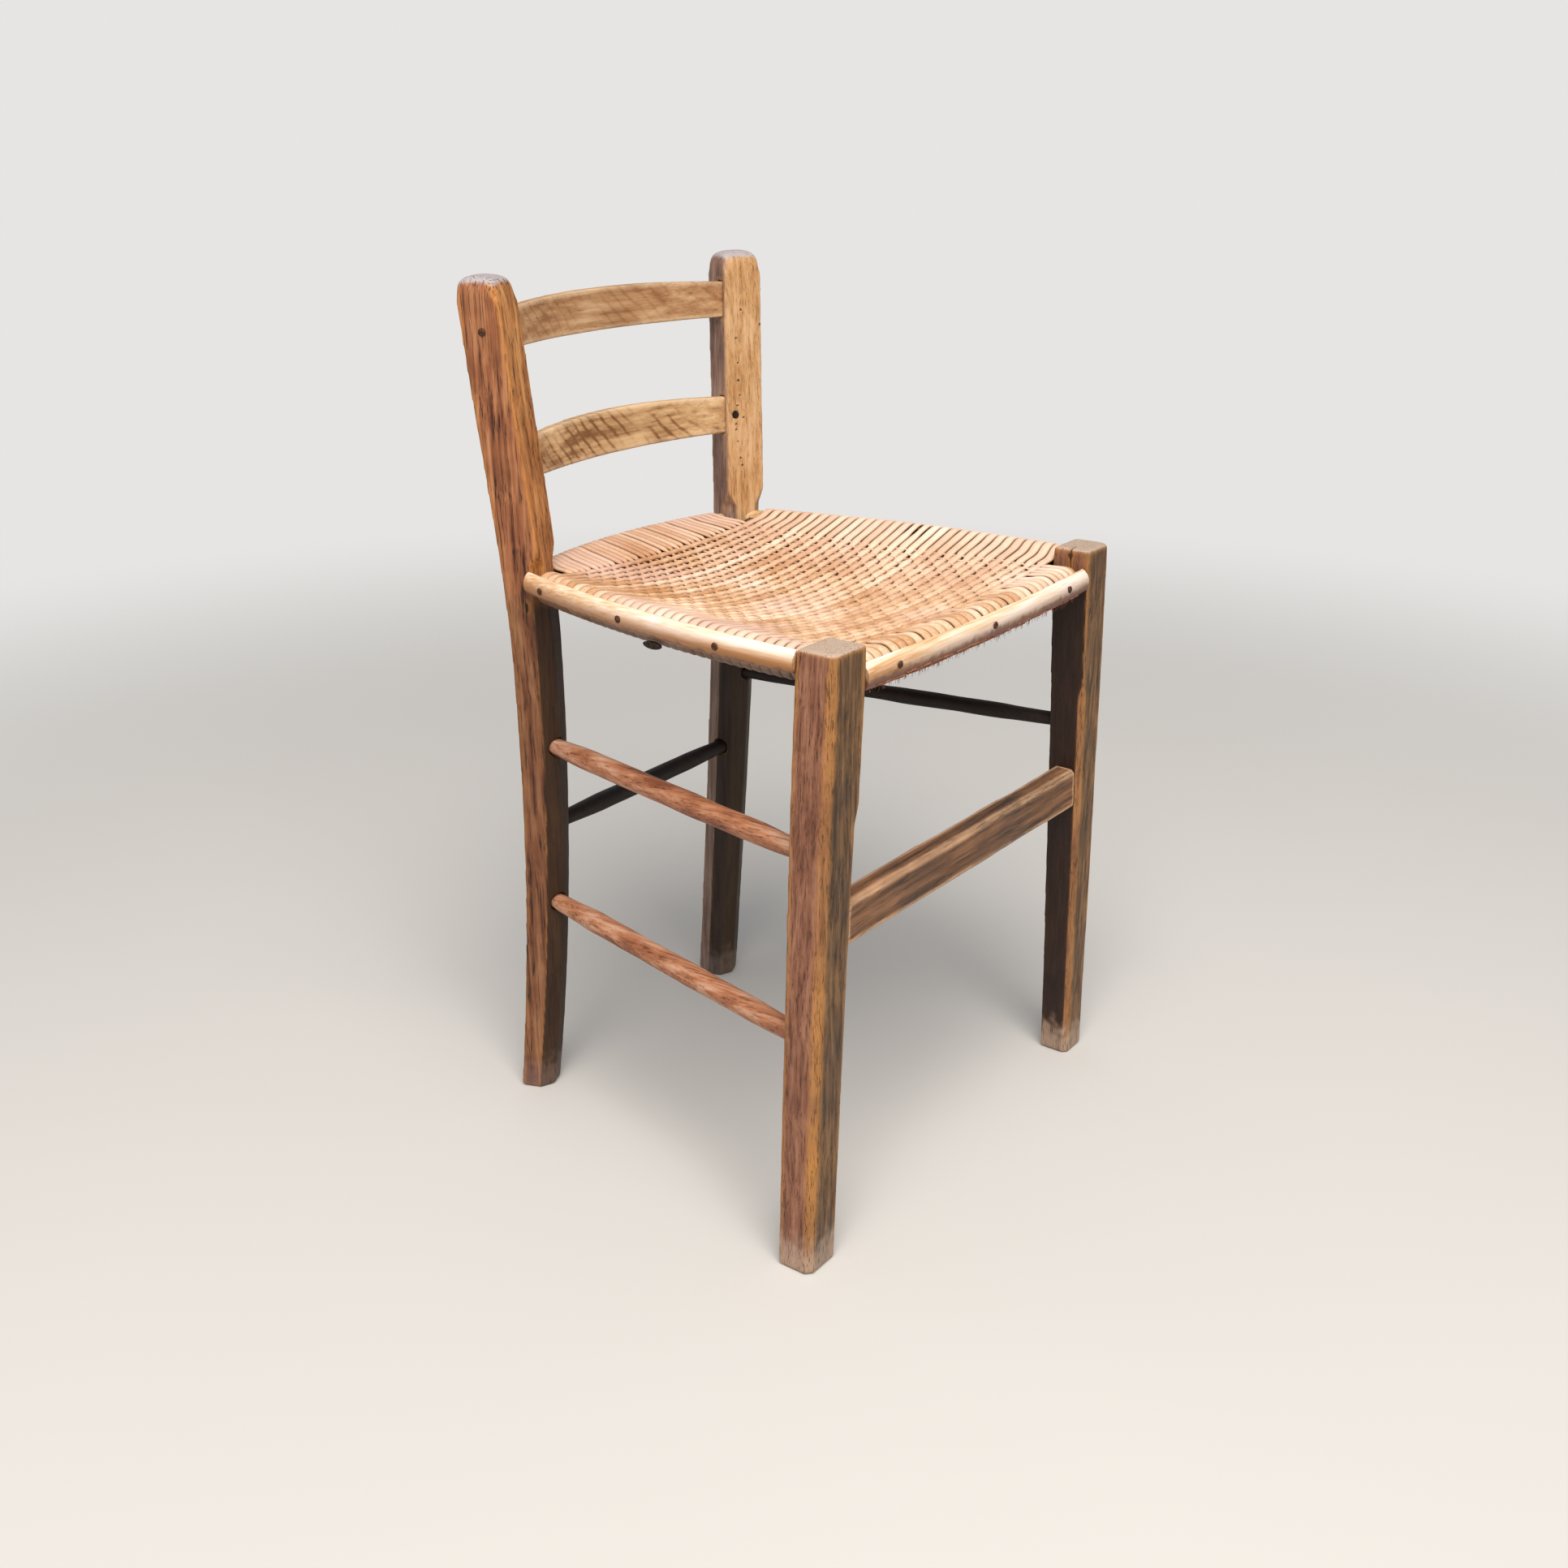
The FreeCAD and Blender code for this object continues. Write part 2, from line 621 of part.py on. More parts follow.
def slip_nail_places(name):
    """Where each nail of a strip meets the strip's round face, and its direction."""
    path = slip_path(name)
    places = []
    for index in range(SLIP_NAILS_PER_STRIP):
        offset = (index - (SLIP_NAILS_PER_STRIP - 1) / 2) * SLIP_NAIL_PITCH[name]
        target = SLIP_NAIL_CENTRE[name] + offset
        centre = path.Curve.Center
        radius = path.Curve.Radius
        if name == "front":
            point = Vector(target, centre.y - math.sqrt(radius ** 2 - (target - centre.x) ** 2), centre.z)
        else:
            run = math.sqrt(radius ** 2 - (target - centre.y) ** 2)
            point = Vector(centre.x + SIDES[name] * run, target, centre.z)
        outward = (point - centre).normalize()
        rise = SLIP_NAIL_RISE[name]
        face = point + outward * slip_face(name, max(rise - NAIL_HEAD_RADIUS, 0.0))
        places.append((face + Vector(0, 0, rise), outward))
    return places


def slip_nails(name, grow=0.0, sunk=False):
    """The nails of one strip, or their holes when sunk."""
    nails = []
    for place, outward in slip_nail_places(name):
        start = place + outward * EYE
        nails.append(nail(start, outward, NAIL_HEAD_RADIUS, NAIL_SHANK_RADIUS, NAIL_LENGTH, grow, sunk))
    return nails


def post_peg(grow=0.0):
    """The peg driven through the right post's front into the lower slat's tenon."""
    post = post_section("right", slat_middle("lower_slat"))
    inner = section_point(post, SLAT_TENON / 2 - post[1] / 2, -post[2] / 2)
    outward = section_point(post, 0, -1) - post[0]
    return Part.makeCylinder(
        PEG_RADIUS + grow, PEG_LENGTH + PEG_STAND + grow, inner + outward * PEG_STAND, outward * -1
    )


def face_place(section_at, side, z, across, along):
    """A point on an upright's inner or outer face, and the direction square to that face."""
    places = []
    for level in (z, z + 1):
        section = section_at(side, level)
        places.append(section_point(section, across * section[1] / 2, along))
    depth_way = section_point(section, 0, 1) - section[0]
    outward = (places[1] - places[0]).cross(depth_way).normalize() * -across
    return places[0] + outward * EYE, outward


def post_nail_place():
    """Where the nail enters the left post's outer face, and its direction."""
    along = POST_NAIL_SET_BACK - POST_DEPTH["left"] / 2
    return face_place(post_section, "left", slat_middle("top_slat"), -1, along)


def leg_nail_place():
    """Where the small nail enters the far leg's inner face, and its direction."""
    return face_place(leg_section, "right", LEG_HEIGHT - LEG_NAIL_BELOW_TOP, -1, 0)


def cane_knot():
    """The lump of tied cane ends against the left roll, an angle below its outer side."""
    path = seat_rail_path("left")
    centre = path.Curve.Center
    run = math.sqrt(path.Curve.Radius ** 2 - (KNOT_PLACE - centre.y) ** 2)
    away = RAIL_RADIUS + WEAVE_THICKNESS + WEAVE_GAP + KNOT_THICKNESS / 2
    angle = math.radians(KNOT_ANGLE)
    lump = Part.makeSphere(KNOT_THICKNESS / 2)
    stretch = FreeCAD.Matrix()
    stretch.scale(Vector(1, KNOT_LENGTH / KNOT_THICKNESS, 1))
    lump = lump.transformGeometry(stretch)
    x = centre.x - run - away * math.cos(angle)
    lump.translate(Vector(x, KNOT_PLACE, centre.z - away * math.sin(angle)))
    return lump


# Putting the chair together

def build_frame():
    """Legs and posts with every mortise and hole, and what fits into them."""
    parts = {}
    for side in SIDES:
        parts[f"front_leg_{side}"] = front_leg(side)
        parts[f"back_post_{side}"] = back_post(side)
    mortises = []
    for name in list(STRETCHERS) + ["stretcher_back"]:
        parts[name] = stretcher(name)
        mortises.append(stretcher(name, JOINT_GAP, TENON_END_GAP))
    for name in SLATS:
        parts[name] = slat(name)
        mortises.append(slat(name, JOINT_GAP, TENON_END_GAP))
    parts["front_rail"] = front_rail()
    mortises.append(front_rail_tenon(JOINT_GAP, TENON_END_GAP))
    for name in RAIL_NAMES:
        parts[f"seat_rail_{name}"] = seat_rail(name)
        longer = longer_arc(seat_rail_path(name), TENON_END_GAP)
        mortises.append(tube_along(longer, RAIL_TENON_RADIUS + JOINT_GAP))
    for name in list(parts):
        if name.startswith(("front_leg", "back_post")):
            parts[name] = parts[name].cut(mortises)
    return parts


def build_seat(parts):
    """The weave, its edge strips and the nails through both into the rails."""
    parts["woven_seat"] = woven_seat()
    for name in SLIP_NAMES:
        holes = slip_nails(name, NAIL_GAP, True)
        parts[f"seat_slip_{name}"] = seat_slip(name).cut(holes)
        parts[f"slip_nails_{name}"] = Part.makeCompound(slip_nails(name))
        parts["woven_seat"] = parts["woven_seat"].cut(holes)
        parts[f"seat_rail_{name}"] = parts[f"seat_rail_{name}"].cut(holes)
    parts["cane_knot"] = cane_knot()


def build_fixings(parts):
    """The peg and nails in the uprights, with their holes."""
    parts["post_peg"] = post_peg()
    for name in ("back_post_right", "lower_slat"):
        parts[name] = parts[name].cut(post_peg(NAIL_GAP))
    place, outward = post_nail_place()
    sizes = (POST_NAIL_HEAD_RADIUS, NAIL_SHANK_RADIUS, POST_NAIL_LENGTH)
    parts["post_nail"] = nail(place, outward, *sizes)
    for name in ("back_post_left", "top_slat"):
        parts[name] = parts[name].cut(nail(place, outward, *sizes, NAIL_GAP, True))
    place, outward = leg_nail_place()
    sizes = (LEG_NAIL_HEAD_RADIUS, NAIL_SHANK_RADIUS, LEG_NAIL_LENGTH)
    parts["leg_top_nail"] = nail(place, outward, *sizes)
    parts["front_leg_right"] = parts["front_leg_right"].cut(nail(place, outward, *sizes, NAIL_GAP, True))


def main():
    """Build every piece, stand the chair on its origin and write the files."""
    parts = build_frame()
    build_seat(parts)
    build_fixings(parts)
    box = Part.makeCompound(list(parts.values())).optimalBoundingBox(False, False)
    to_origin = Vector(-box.Center.x, -box.Center.y, -box.ZMin)
    print("moved to the origin by", to_origin)
    for name, shape in parts.items():
        shape.translate(to_origin)
        print(name, "solids", len(shape.Solids), "volume", round(shape.Volume), "valid", shape.isValid())
        shape.exportStep(f"parts/{name}.step")


os.makedirs("parts", exist_ok=True)
main()
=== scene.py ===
# %% [markdown]
# # A low ladderback chair with a woven seat
# This lesson dresses a finished set of solids, the frame, until it looks like an old country chair. The
# frame gives every piece its true size and place, so nothing here is moved. What changes is the skin: worn
# arrises, open grain, dark corners and undersides that are partly staining and partly painted shade, and a
# seat of real crossing strands.

# %% Load the frame
import math
import random
import bmesh
import bpy
import numpy as np
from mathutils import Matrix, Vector, noise


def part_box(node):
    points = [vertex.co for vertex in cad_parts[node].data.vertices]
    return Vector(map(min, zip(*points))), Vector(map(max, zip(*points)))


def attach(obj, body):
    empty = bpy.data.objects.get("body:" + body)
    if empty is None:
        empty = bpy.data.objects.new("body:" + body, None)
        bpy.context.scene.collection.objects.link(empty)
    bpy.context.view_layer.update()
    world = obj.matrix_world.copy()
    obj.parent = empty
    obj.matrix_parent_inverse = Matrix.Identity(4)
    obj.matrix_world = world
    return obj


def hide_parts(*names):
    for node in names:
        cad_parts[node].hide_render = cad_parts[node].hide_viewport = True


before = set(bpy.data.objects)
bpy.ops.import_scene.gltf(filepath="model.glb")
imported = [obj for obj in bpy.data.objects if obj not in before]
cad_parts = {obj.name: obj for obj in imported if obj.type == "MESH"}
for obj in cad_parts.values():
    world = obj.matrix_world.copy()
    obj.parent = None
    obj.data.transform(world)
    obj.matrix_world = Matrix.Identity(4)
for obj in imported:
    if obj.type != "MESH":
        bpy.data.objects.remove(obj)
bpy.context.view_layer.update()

print("pieces in the frame:", len(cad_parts))

# %% [markdown]
# ## Where things are
# The front legs stand on one line, so that line on the floor is the handiest place to measure from. It is
# found from the legs themselves, and `place` turns millimetres from it into the scene's metres.

# %% Measure from the front legs' line
MM = 0.001
left_leg, right_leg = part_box("front_leg_left"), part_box("front_leg_right")
LEGS_LINE = Vector(((left_leg[0].x + right_leg[1].x) / 2, (left_leg[0].y + left_leg[1].y) / 2, 0))
LEG_TOP = left_leg[1].z
POST_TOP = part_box("back_post_left")[1].z
SEAT_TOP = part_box("woven_seat")[1].z


def place(x, y, z):
    """A point given in millimetres from the middle of the front legs' line, on the floor."""
    return LEGS_LINE + Vector((x, y, z)) * MM


print("seat height in mm:", round(SEAT_TOP / MM), " back height in mm:", round(POST_TOP / MM))

# %% [markdown]
# ## The camera
# The photograph was taken from in front of the chair's left corner, at about chest height, looking down. A
# camera's place and lens decide how much nearer things swell, so both are set as they were, not by eye.

# %% Stand the camera where the photograph was taken
EYE_PLACE = (-1009.3, -589.5, 761.2)
EYE_TURN = -53.35
EYE_DOWN = 21.47
LENS_SHARE = 2108.6 / 1932
SENSOR = 36.0

camera_data = bpy.data.cameras.new("photo_camera")
camera_data.sensor_width = SENSOR
camera_data.sensor_height = SENSOR
camera_data.lens = LENS_SHARE * SENSOR
camera = bpy.data.objects.new("photo_camera", camera_data)
camera.location = place(*EYE_PLACE)
camera.rotation_euler = (math.radians(90 - EYE_DOWN), 0, math.radians(EYE_TURN))
bpy.context.collection.objects.link(camera)
bpy.context.scene.camera = camera
bpy.context.scene.view_settings.view_transform = "Standard"
print("camera at", [round(c, 3) for c in camera.location])

# %% [markdown]
# ## Helpers for reshaping
# An operator acts on whatever is selected, so each helper first drops the selection. A solid from the frame
# is loose triangles: a copy is merged into one skin before a modifier can round or dent it.

# %% Copy a solid and apply modifiers to it


def select_only(piece):
    """Make one object the only selected one, and the active one."""
    bpy.ops.object.select_all(action="DESELECT")
    piece.select_set(True)
    bpy.context.view_layer.objects.active = piece


def merged_copy(node, name):
    """A copy of one solid with its triangles joined, ready to be reshaped."""
    piece = bpy.data.objects.new(name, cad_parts[node].data.copy())
    bpy.context.collection.objects.link(piece)
    piece.data.materials.clear()
    select_only(piece)
    bpy.ops.object.mode_set(mode="EDIT")
    bpy.ops.mesh.select_all(action="SELECT")
    bpy.ops.mesh.remove_doubles(threshold=0.01 * MM)
    bpy.ops.mesh.normals_make_consistent(inside=False)
    bpy.ops.object.mode_set(mode="OBJECT")
    return piece


def apply_modifier(piece, kind, **settings):
    """Add one modifier, set it up and make its result permanent."""
    select_only(piece)
    modifier = piece.modifiers.new(kind.lower(), kind)
    for setting, value in settings.items():
        setattr(modifier, setting, value)
    bpy.ops.object.modifier_apply(modifier=modifier.name)


def points_and_normals(piece):
    """Every vertex's place and direction, as two tables."""
    count = len(piece.data.vertices)
    points = np.zeros(count * 3)
    normals = np.zeros(count * 3)
    piece.data.vertices.foreach_get("co", points)
    piece.data.vertices.foreach_get("normal", normals)
    return points.reshape(-1, 3), normals.reshape(-1, 3)


def ease(value, low, high):
    """0 below low, 1 above high, and a smooth step between them."""
    share = np.clip((value - low) / (high - low), 0, 1)
    return share * share * (3 - 2 * share)


def keep_attribute(piece, name, values):
    """Store one number per vertex, for a material to read."""
    layer = piece.data.attributes.new(name, "FLOAT", "POINT")
    layer.data.foreach_set("value", np.asarray(values, dtype=np.float32))


# %% [markdown]
# ## Helpers for materials
# A material is a small network of nodes. One function adds a node with its settings, and each of its sockets
# is either set to a value or linked to another node. Colours are picked as they look on a screen, in sRGB
# hex, and the renderer works in linear light, so every one goes through the same curve.

# %% Add nodes and turn colours linear


def linear(hex_colour, alpha=1.0):
    """An sRGB hex colour as linear numbers."""
    parts = [int(hex_colour[i:i + 2], 16) / 255 for i in (1, 3, 5)]
    return [c / 12.92 if c <= 0.04045 else ((c + 0.055) / 1.055) ** 2.4 for c in parts] + [alpha]


def add(tree, kind, sockets=None, **settings):
    """One node with its settings, its sockets set to values or linked to other nodes' outputs."""
    node = tree.nodes.new("ShaderNode" + kind)
    for setting, value in settings.items():
        setattr(node, setting, value)
    for socket, value in (sockets or {}).items():
        if isinstance(value, bpy.types.NodeSocket):
            tree.links.new(value, node.inputs[socket])
        else:
            node.inputs[socket].default_value = value
    return node


def new_material(name):
    """An empty material: its tree and its output node."""
    material = bpy.data.materials.new(name)
    material.use_nodes = True
    material.node_tree.nodes.clear()
    return material, material.node_tree, add(material.node_tree, "OutputMaterial")


def own_place(tree):
    """Where a point lies on the piece itself, in metres."""
    return add(tree, "TexCoord").outputs["Object"]


def attribute(tree, name):
    """A number that was stored on the piece's vertices."""
    return add(tree, "Attribute", attribute_name=name).outputs["Fac"]


def maths(tree, operation, *values):
    """One step of arithmetic on numbers or on other nodes' outputs."""
    return add(tree, "Math", dict(enumerate(values)), operation=operation).outputs[0]


def mix(tree, share, first, second):
    """The first colour at a share of 0, the second at 1."""
    return add(tree, "Mix", {0: share, 6: first, 7: second}, data_type="RGBA").outputs[2]


def remap(tree, value, low, high, at_low, at_high):
    """A value's span from low to high, turned into another span and held at its ends."""
    return add(tree, "MapRange", {0: value, 1: low, 2: high, 3: at_low, 4: at_high}).outputs[0]


def colour_ramp(tree, value, positions, colours):
    """Two or three sRGB colours with their positions, blended by a value."""
    ramp = add(tree, "ValToRGB", {"Fac": value})
    for _ in colours[2:]:
        ramp.color_ramp.elements.new(0.5)
    for element, position, colour in zip(ramp.color_ramp.elements, positions, colours):
        element.position = position
        element.color = linear(colour)
    return ramp.outputs[0]


def finish_material(tree, output, colour, rough, relief, strength, depth, shine=0.5, metal=0.0):
    """Join colour, roughness and relief into one surface; depth is the relief's height in millimetres."""
    bump = add(tree, "Bump", {"Height": relief, "Strength": strength, "Distance": depth * MM}).outputs[0]
    sockets = {"Base Color": colour, "Roughness": rough, "Normal": bump, "Metallic": metal}
    surface = add(tree, "BsdfPrincipled", {**sockets, "Specular IOR Level": shine})
    tree.links.new(surface.outputs[0], output.inputs[0])


# %% [markdown]
# ## Old stained oak
# The frame is a coarse, ring-porous wood such as oak or chestnut, stained brown and rubbed bare again by
# hands. Three things make it read as wood: broad growth bands some millimetres wide, fine dark pores drawn
# out along the grain, and a patina that changes over a hand's width. Stretching the coordinates along the
# grain turns round noise into long streaks. Faces that look sideways and faces that look to the front get
# two ramps, mixed by direction; the difference between them is partly the wood's own colour and partly
# painted light and shade, kept from how brightly each kind of face was lit. Three attributes carry what the
# piece's own shape knows: arrises rubbed bare, a near-black that is partly real staining and partly painted
# shade under the seat and on faces turned inward, and grey end grain.

# %% The oak material
AXES = "XYZ"


def along_grain(tree, where, grain, stretch=0.05):
    """Coordinates drawn out along one axis, so that round noise turns into streaks."""
    scale = [stretch if axis == grain else 1.0 for axis in AXES]
    return add(tree, "Mapping", {"Vector": where, "Scale": scale}).outputs[0]


def stained_oak(
    name, grain, front, side=None, worn="#C08A58", end="#B9A79B", ring=6.0, pore=1.1, pores=0.75,
    stretch=0.05, figure=0.0,
):
    """Old oak: front and side are each a dark, a middle and a light colour; ring and pore are in mm."""
    material, tree, output = new_material(name)
    where = own_place(tree)
    stretched = along_grain(tree, where, grain, stretch)
    drift = add(tree, "TexNoise", {"Vector": where, "Scale": 14.0, "Detail": 2.0}).outputs["Color"]
    wavy = add(
        tree, "VectorMath", {0: drift, 1: [6 * MM] * 3, 2: stretched}, operation="MULTIPLY_ADD"
    ).outputs[0]
    bands, fine, patina = (
        add(tree, "TexNoise", {"Vector": at, "Scale": scale, "Detail": detail, "Roughness": rough}).outputs[0]
        for at, scale, detail, rough in (
            (wavy, 1000 / ring, 3.0, 0.6), (wavy, 1000 / pore, 2.0, 0.7), (where, 18.0, 4.0, 0.6)
        )
    )

    tone = maths(tree, "MULTIPLY", bands, 0.6)
    tone = maths(tree, "MULTIPLY_ADD", patina, 0.4, tone)
    if figure:
        waves = {"Vector": where, "Scale": 48.0, "Distortion": 3.0, "Detail": 4.0, "Detail Scale": 0.8}
        flame = add(tree, "TexWave", waves, bands_direction="DIAGONAL").outputs["Fac"]
        lines = remap(tree, flame, 0.0, 0.35, -0.3 * figure, 0.0)
        here = remap(tree, patina, 0.42, 0.58, 1.0, 0.1)
        tone = maths(tree, "MULTIPLY_ADD", lines, here, tone)
    # Painted light and shade, partly the wood's own colour: front faces and sideways faces get separate
    # ramps, keeping how brightly each was lit.
    ramps = [colour_ramp(tree, tone, (0.36, 0.5, 0.64), colours) for colours in (front, side or front)]
    colour = mix(tree, attribute(tree, "sideways"), *ramps)

    uneven = remap(tree, patina, 0.3, 0.65, 0.35, 1.0)
    rubbed = maths(tree, "MULTIPLY", attribute(tree, "rubbed"), uneven)
    colour = mix(tree, rubbed, colour, linear(worn))
    # Partly real staining, partly painted shade: where the stained attribute is high, faces under the seat
    # and faces turned inward go near-black.
    colour = mix(tree, attribute(tree, "stained"), colour, linear("#150C08"))
    colour = mix(tree, attribute(tree, "end_grain"), colour, linear(end))

    open_pores = remap(tree, fine, 0.36, 0.47, pores, 0.0)
    pore_depth = remap(tree, bands, 0.62, 0.42, 0.3, 1.0)
    open_pores = maths(tree, "MULTIPLY", open_pores, pore_depth)
    shadow = mix(tree, open_pores, colour, linear("#2A1B12"))

    relief = maths(tree, "MULTIPLY_ADD", open_pores, -1.0, bands)
    rough = remap(tree, patina, 0.3, 0.7, 0.42, 0.68)
    finish_material(tree, output, shadow, rough, relief, strength=0.55, depth=0.5, shine=0.3)
    return material


# The front and side ramps of each finish differ partly as painted light and shade.
LEG_OAK = stained_oak(
    "stained oak, front legs", "Z", ("#3B2A1B", "#6A4D31", "#8E6B47"), ("#643B29", "#875943", "#A27459"),
    worn="#AE7840", end="#B69F8C", ring=3.5, pore=0.9, stretch=0.09,
)
LEFT_POST_OAK = stained_oak(
    "streaked oak, left post", "Z", ("#865024", "#B0743E", "#CD965C"), ("#4A2417", "#955D3C", "#BE875D"),
    worn="#B87A40", end="#A8A0A2", ring=5.0, pore=1.4, stretch=0.035, pores=1.0,
)
RIGHT_POST_OAK = stained_oak(
    "honey oak, right post", "Z", ("#A67645", "#BE9466", "#CFAB84"), ("#6E4F42", "#9A7866", "#BD9D8C"),
    worn="#C39B70", end="#A8A0A2", ring=4.0, pore=0.8, stretch=0.05, pores=0.5,
)
TOP_SLAT_OAK = stained_oak(
    "rubbed oak, top slat", "X", ("#8F6440", "#AB825B", "#C3A27C"), worn="#CBB090", pores=0.25, figure=0.25
)
LOW_SLAT_OAK = stained_oak(
    "flamed oak, lower slat", "X", ("#7E5732", "#B99368", "#D8B88C"), worn="#D8BC99", pores=0.25, figure=0.5
)
RAIL_OAK = stained_oak(
    "stained oak, front rail", "X", ("#3B291D", "#6E4C33", "#94694A"), worn="#D6B08C", pores=0.6
)
ROUND_OAK = stained_oak(
    "rubbed oak, left stretchers", "Y", ("#824B30", "#AE7351", "#CDA48A"), worn="#C4B0A8", pores=0.7,
    stretch=0.04,
)
# Near-black: partly the stretchers' own dark staining, partly painted shade under the seat.
DARK_OAK = stained_oak(
    "dark stained oak in painted shade, hidden stretchers", "Y", ("#120B08", "#1C130E", "#2B1F18"), worn="#4A382F", pores=0.4
)
print("oak finishes:", sum("oak" in material.name for material in bpy.data.materials))

# %% [markdown]
# ## Wearing down a piece of wood
# A drawn solid has razor edges, and nothing on an old chair does. Remeshing a copy into even small squares
# lets a smoothing pass round every arris a little, and a cloudy texture pushes the faces in by a fraction of
# a millimetre, as planes and hands leave them. It only ever pushes inwards, so the piece keeps its size. The
# same even mesh is fine enough to carry the attributes that the oak reads.

# %% Worn copies of the wooden pieces
dents = bpy.data.textures.new("hand_worked", "CLOUDS")
dents.noise_scale = 0.05
dents.noise_depth = 1


def edge_ends(piece):
    """The two vertices of every edge, as a table."""
    ends = np.zeros(len(piece.data.edges) * 2, dtype=np.int64)
    piece.data.edges.foreach_get("vertices", ends)
    return ends.reshape(-1, 2)


def neighbours_mean(ends, values, rounds):
    """Blur one number per vertex over the mesh's edges."""
    for _ in range(rounds):
        total = values.copy()
        count = np.ones(len(values))
        for a, b in ((0, 1), (1, 0)):
            np.add.at(total, ends[:, a], values[ends[:, b]])
            np.add.at(count, ends[:, a], 1)
        values = total / count
    return values


def arris_share(piece):
    """How sharply the surface turns at each vertex, 0 on a flat face and 1 on an arris."""
    _, normals = points_and_normals(piece)
    ends = edge_ends(piece)
    a, b = ends.T
    turn = 1 - np.sum(normals[a] * normals[b], axis=1)
    sharp = np.zeros(len(normals))
    np.maximum.at(sharp, a, turn)
    np.maximum.at(sharp, b, turn)
    return ease(neighbours_mean(ends, sharp, 2), 0.004, 0.05)


def worn_copy(node, material, slot, square=1.6, rounding=5, dent=0.9, domed=0, cuts=None):
    """A copy of a wooden piece with soft arrises and uneven faces; sizes are in millimetres.

    domed is how many times more its top end is smoothed, and cuts makes a shape to be taken out of it.
    """
    drawn = merged_copy(node, "drawn_" + node)
    piece = merged_copy(node, "worn_" + node)
    apply_modifier(piece, "REMESH", mode="VOXEL", voxel_size=square * MM, use_smooth_shade=True)
    apply_modifier(piece, "SHRINKWRAP", target=drawn, wrap_method="NEAREST_SURFACEPOINT")
    bpy.data.objects.remove(drawn)
    apply_modifier(piece, "SMOOTH", factor=0.5, iterations=rounding)
    if domed:
        points, _ = points_and_normals(piece)
        below_top = points[:, 2].max() - points[:, 2]
        top_end = piece.vertex_groups.new(name="top_end")
        for index in np.flatnonzero(below_top < 20 * MM):
            top_end.add([int(index)], float(ease(-below_top[index], -20 * MM, -4 * MM)), "REPLACE")
        apply_modifier(piece, "SMOOTH", factor=0.5, iterations=domed, vertex_group="top_end")
    if cuts:
        tool = cuts(points_and_normals(piece)[0])
        apply_modifier(piece, "BOOLEAN", object=tool, operation="DIFFERENCE", solver="EXACT")
        bpy.data.objects.remove(tool)
    apply_modifier(
        piece, "DISPLACE", texture=dents, texture_coords="LOCAL", strength=dent * MM, mid_level=1.0
    )
    piece.data.materials.append(material)
    points, normals = points_and_normals(piece)
    keep_attribute(piece, "sideways", ease(np.abs(normals[:, 0]), 0.55, 0.85))
    flat_chamfer = ease(np.minimum(np.abs(normals[:, 0]), np.abs(normals[:, 1])), 0.38, 0.52)
    flat_chamfer *= 1 - 0.6 * np.exp(-(((points[:, 2] - 0.6 * LEG_TOP) / (50 * MM)) ** 2))
    flat_chamfer *= np.where(points[:, 0] > 0, 0.35, 1.0)
    keep_attribute(piece, "rubbed", np.maximum(flat_chamfer, 0.7 * arris_share(piece)))
    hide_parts(node)
    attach(piece, "root")
    return piece


def lens(middle, half_sizes):
    """A thin lens-shaped tool, for a crack that closes at both ends."""
    bpy.ops.object.select_all(action="DESELECT")
    bpy.ops.mesh.primitive_uv_sphere_add(
        segments=16, ring_count=12, radius=1, location=middle, scale=half_sizes
    )
    return bpy.context.object


WORMHOLES = 24


def wormholes(points):
    """Beetle holes in the front of the right post, some 2 mm wide, thickest along its two sides."""
    source = random.Random(5)
    tools, taken = [], []
    while len(tools) < WORMHOLES:
        z = source.uniform(SEAT_TOP + 12 * MM, POST_TOP - 25 * MM)
        level = points[np.abs(points[:, 2] - z) < 2 * MM]
        share = source.choice((0.18, 0.3, 0.8, 0.88)) + source.uniform(-0.06, 0.06)
        x = level[:, 0].min() + share * np.ptp(level[:, 0])
        if any(math.hypot(x - other_x, z - other_z) < 4 * MM for other_x, other_z in taken):
            continue
        y = level[np.abs(level[:, 0] - x) < 3 * MM][:, 1].min()
        taken.append((x, z))
        bpy.ops.object.select_all(action="DESELECT")
        bpy.ops.mesh.primitive_cylinder_add(
            vertices=10, radius=source.uniform(0.6, 1.0) * MM, depth=7 * MM, location=(x, y, z),
            rotation=(math.pi / 2, 0, 0),
        )
        tools.append(bpy.context.object)
    for tool in tools:
        tool.select_set(True)
    bpy.ops.object.join()
    return bpy.context.object


def post_crack(points):
    """A short drying crack in the left post, on its outer face just under the seat."""
    level = points[np.abs(points[:, 2] - (SEAT_TOP - 31 * MM)) < 2 * MM]
    face, front = level[:, 0].min(), level[:, 1].min()
    return lens((face, front + 10 * MM, SEAT_TOP - 31 * MM), (7 * MM, 1.3 * MM, 11 * MM))


def leg_crack(points):
    """A split that runs down from the right leg's top on its inner face."""
    level = points[np.abs(points[:, 2] - (LEG_TOP - 8 * MM)) < 2 * MM]
    face, middle = level[:, 0].min(), level[:, 1].mean()
    return lens((face + 3 * MM, middle - 1 * MM, LEG_TOP - 3 * MM), (7 * MM, 0.45 * MM, 15 * MM))


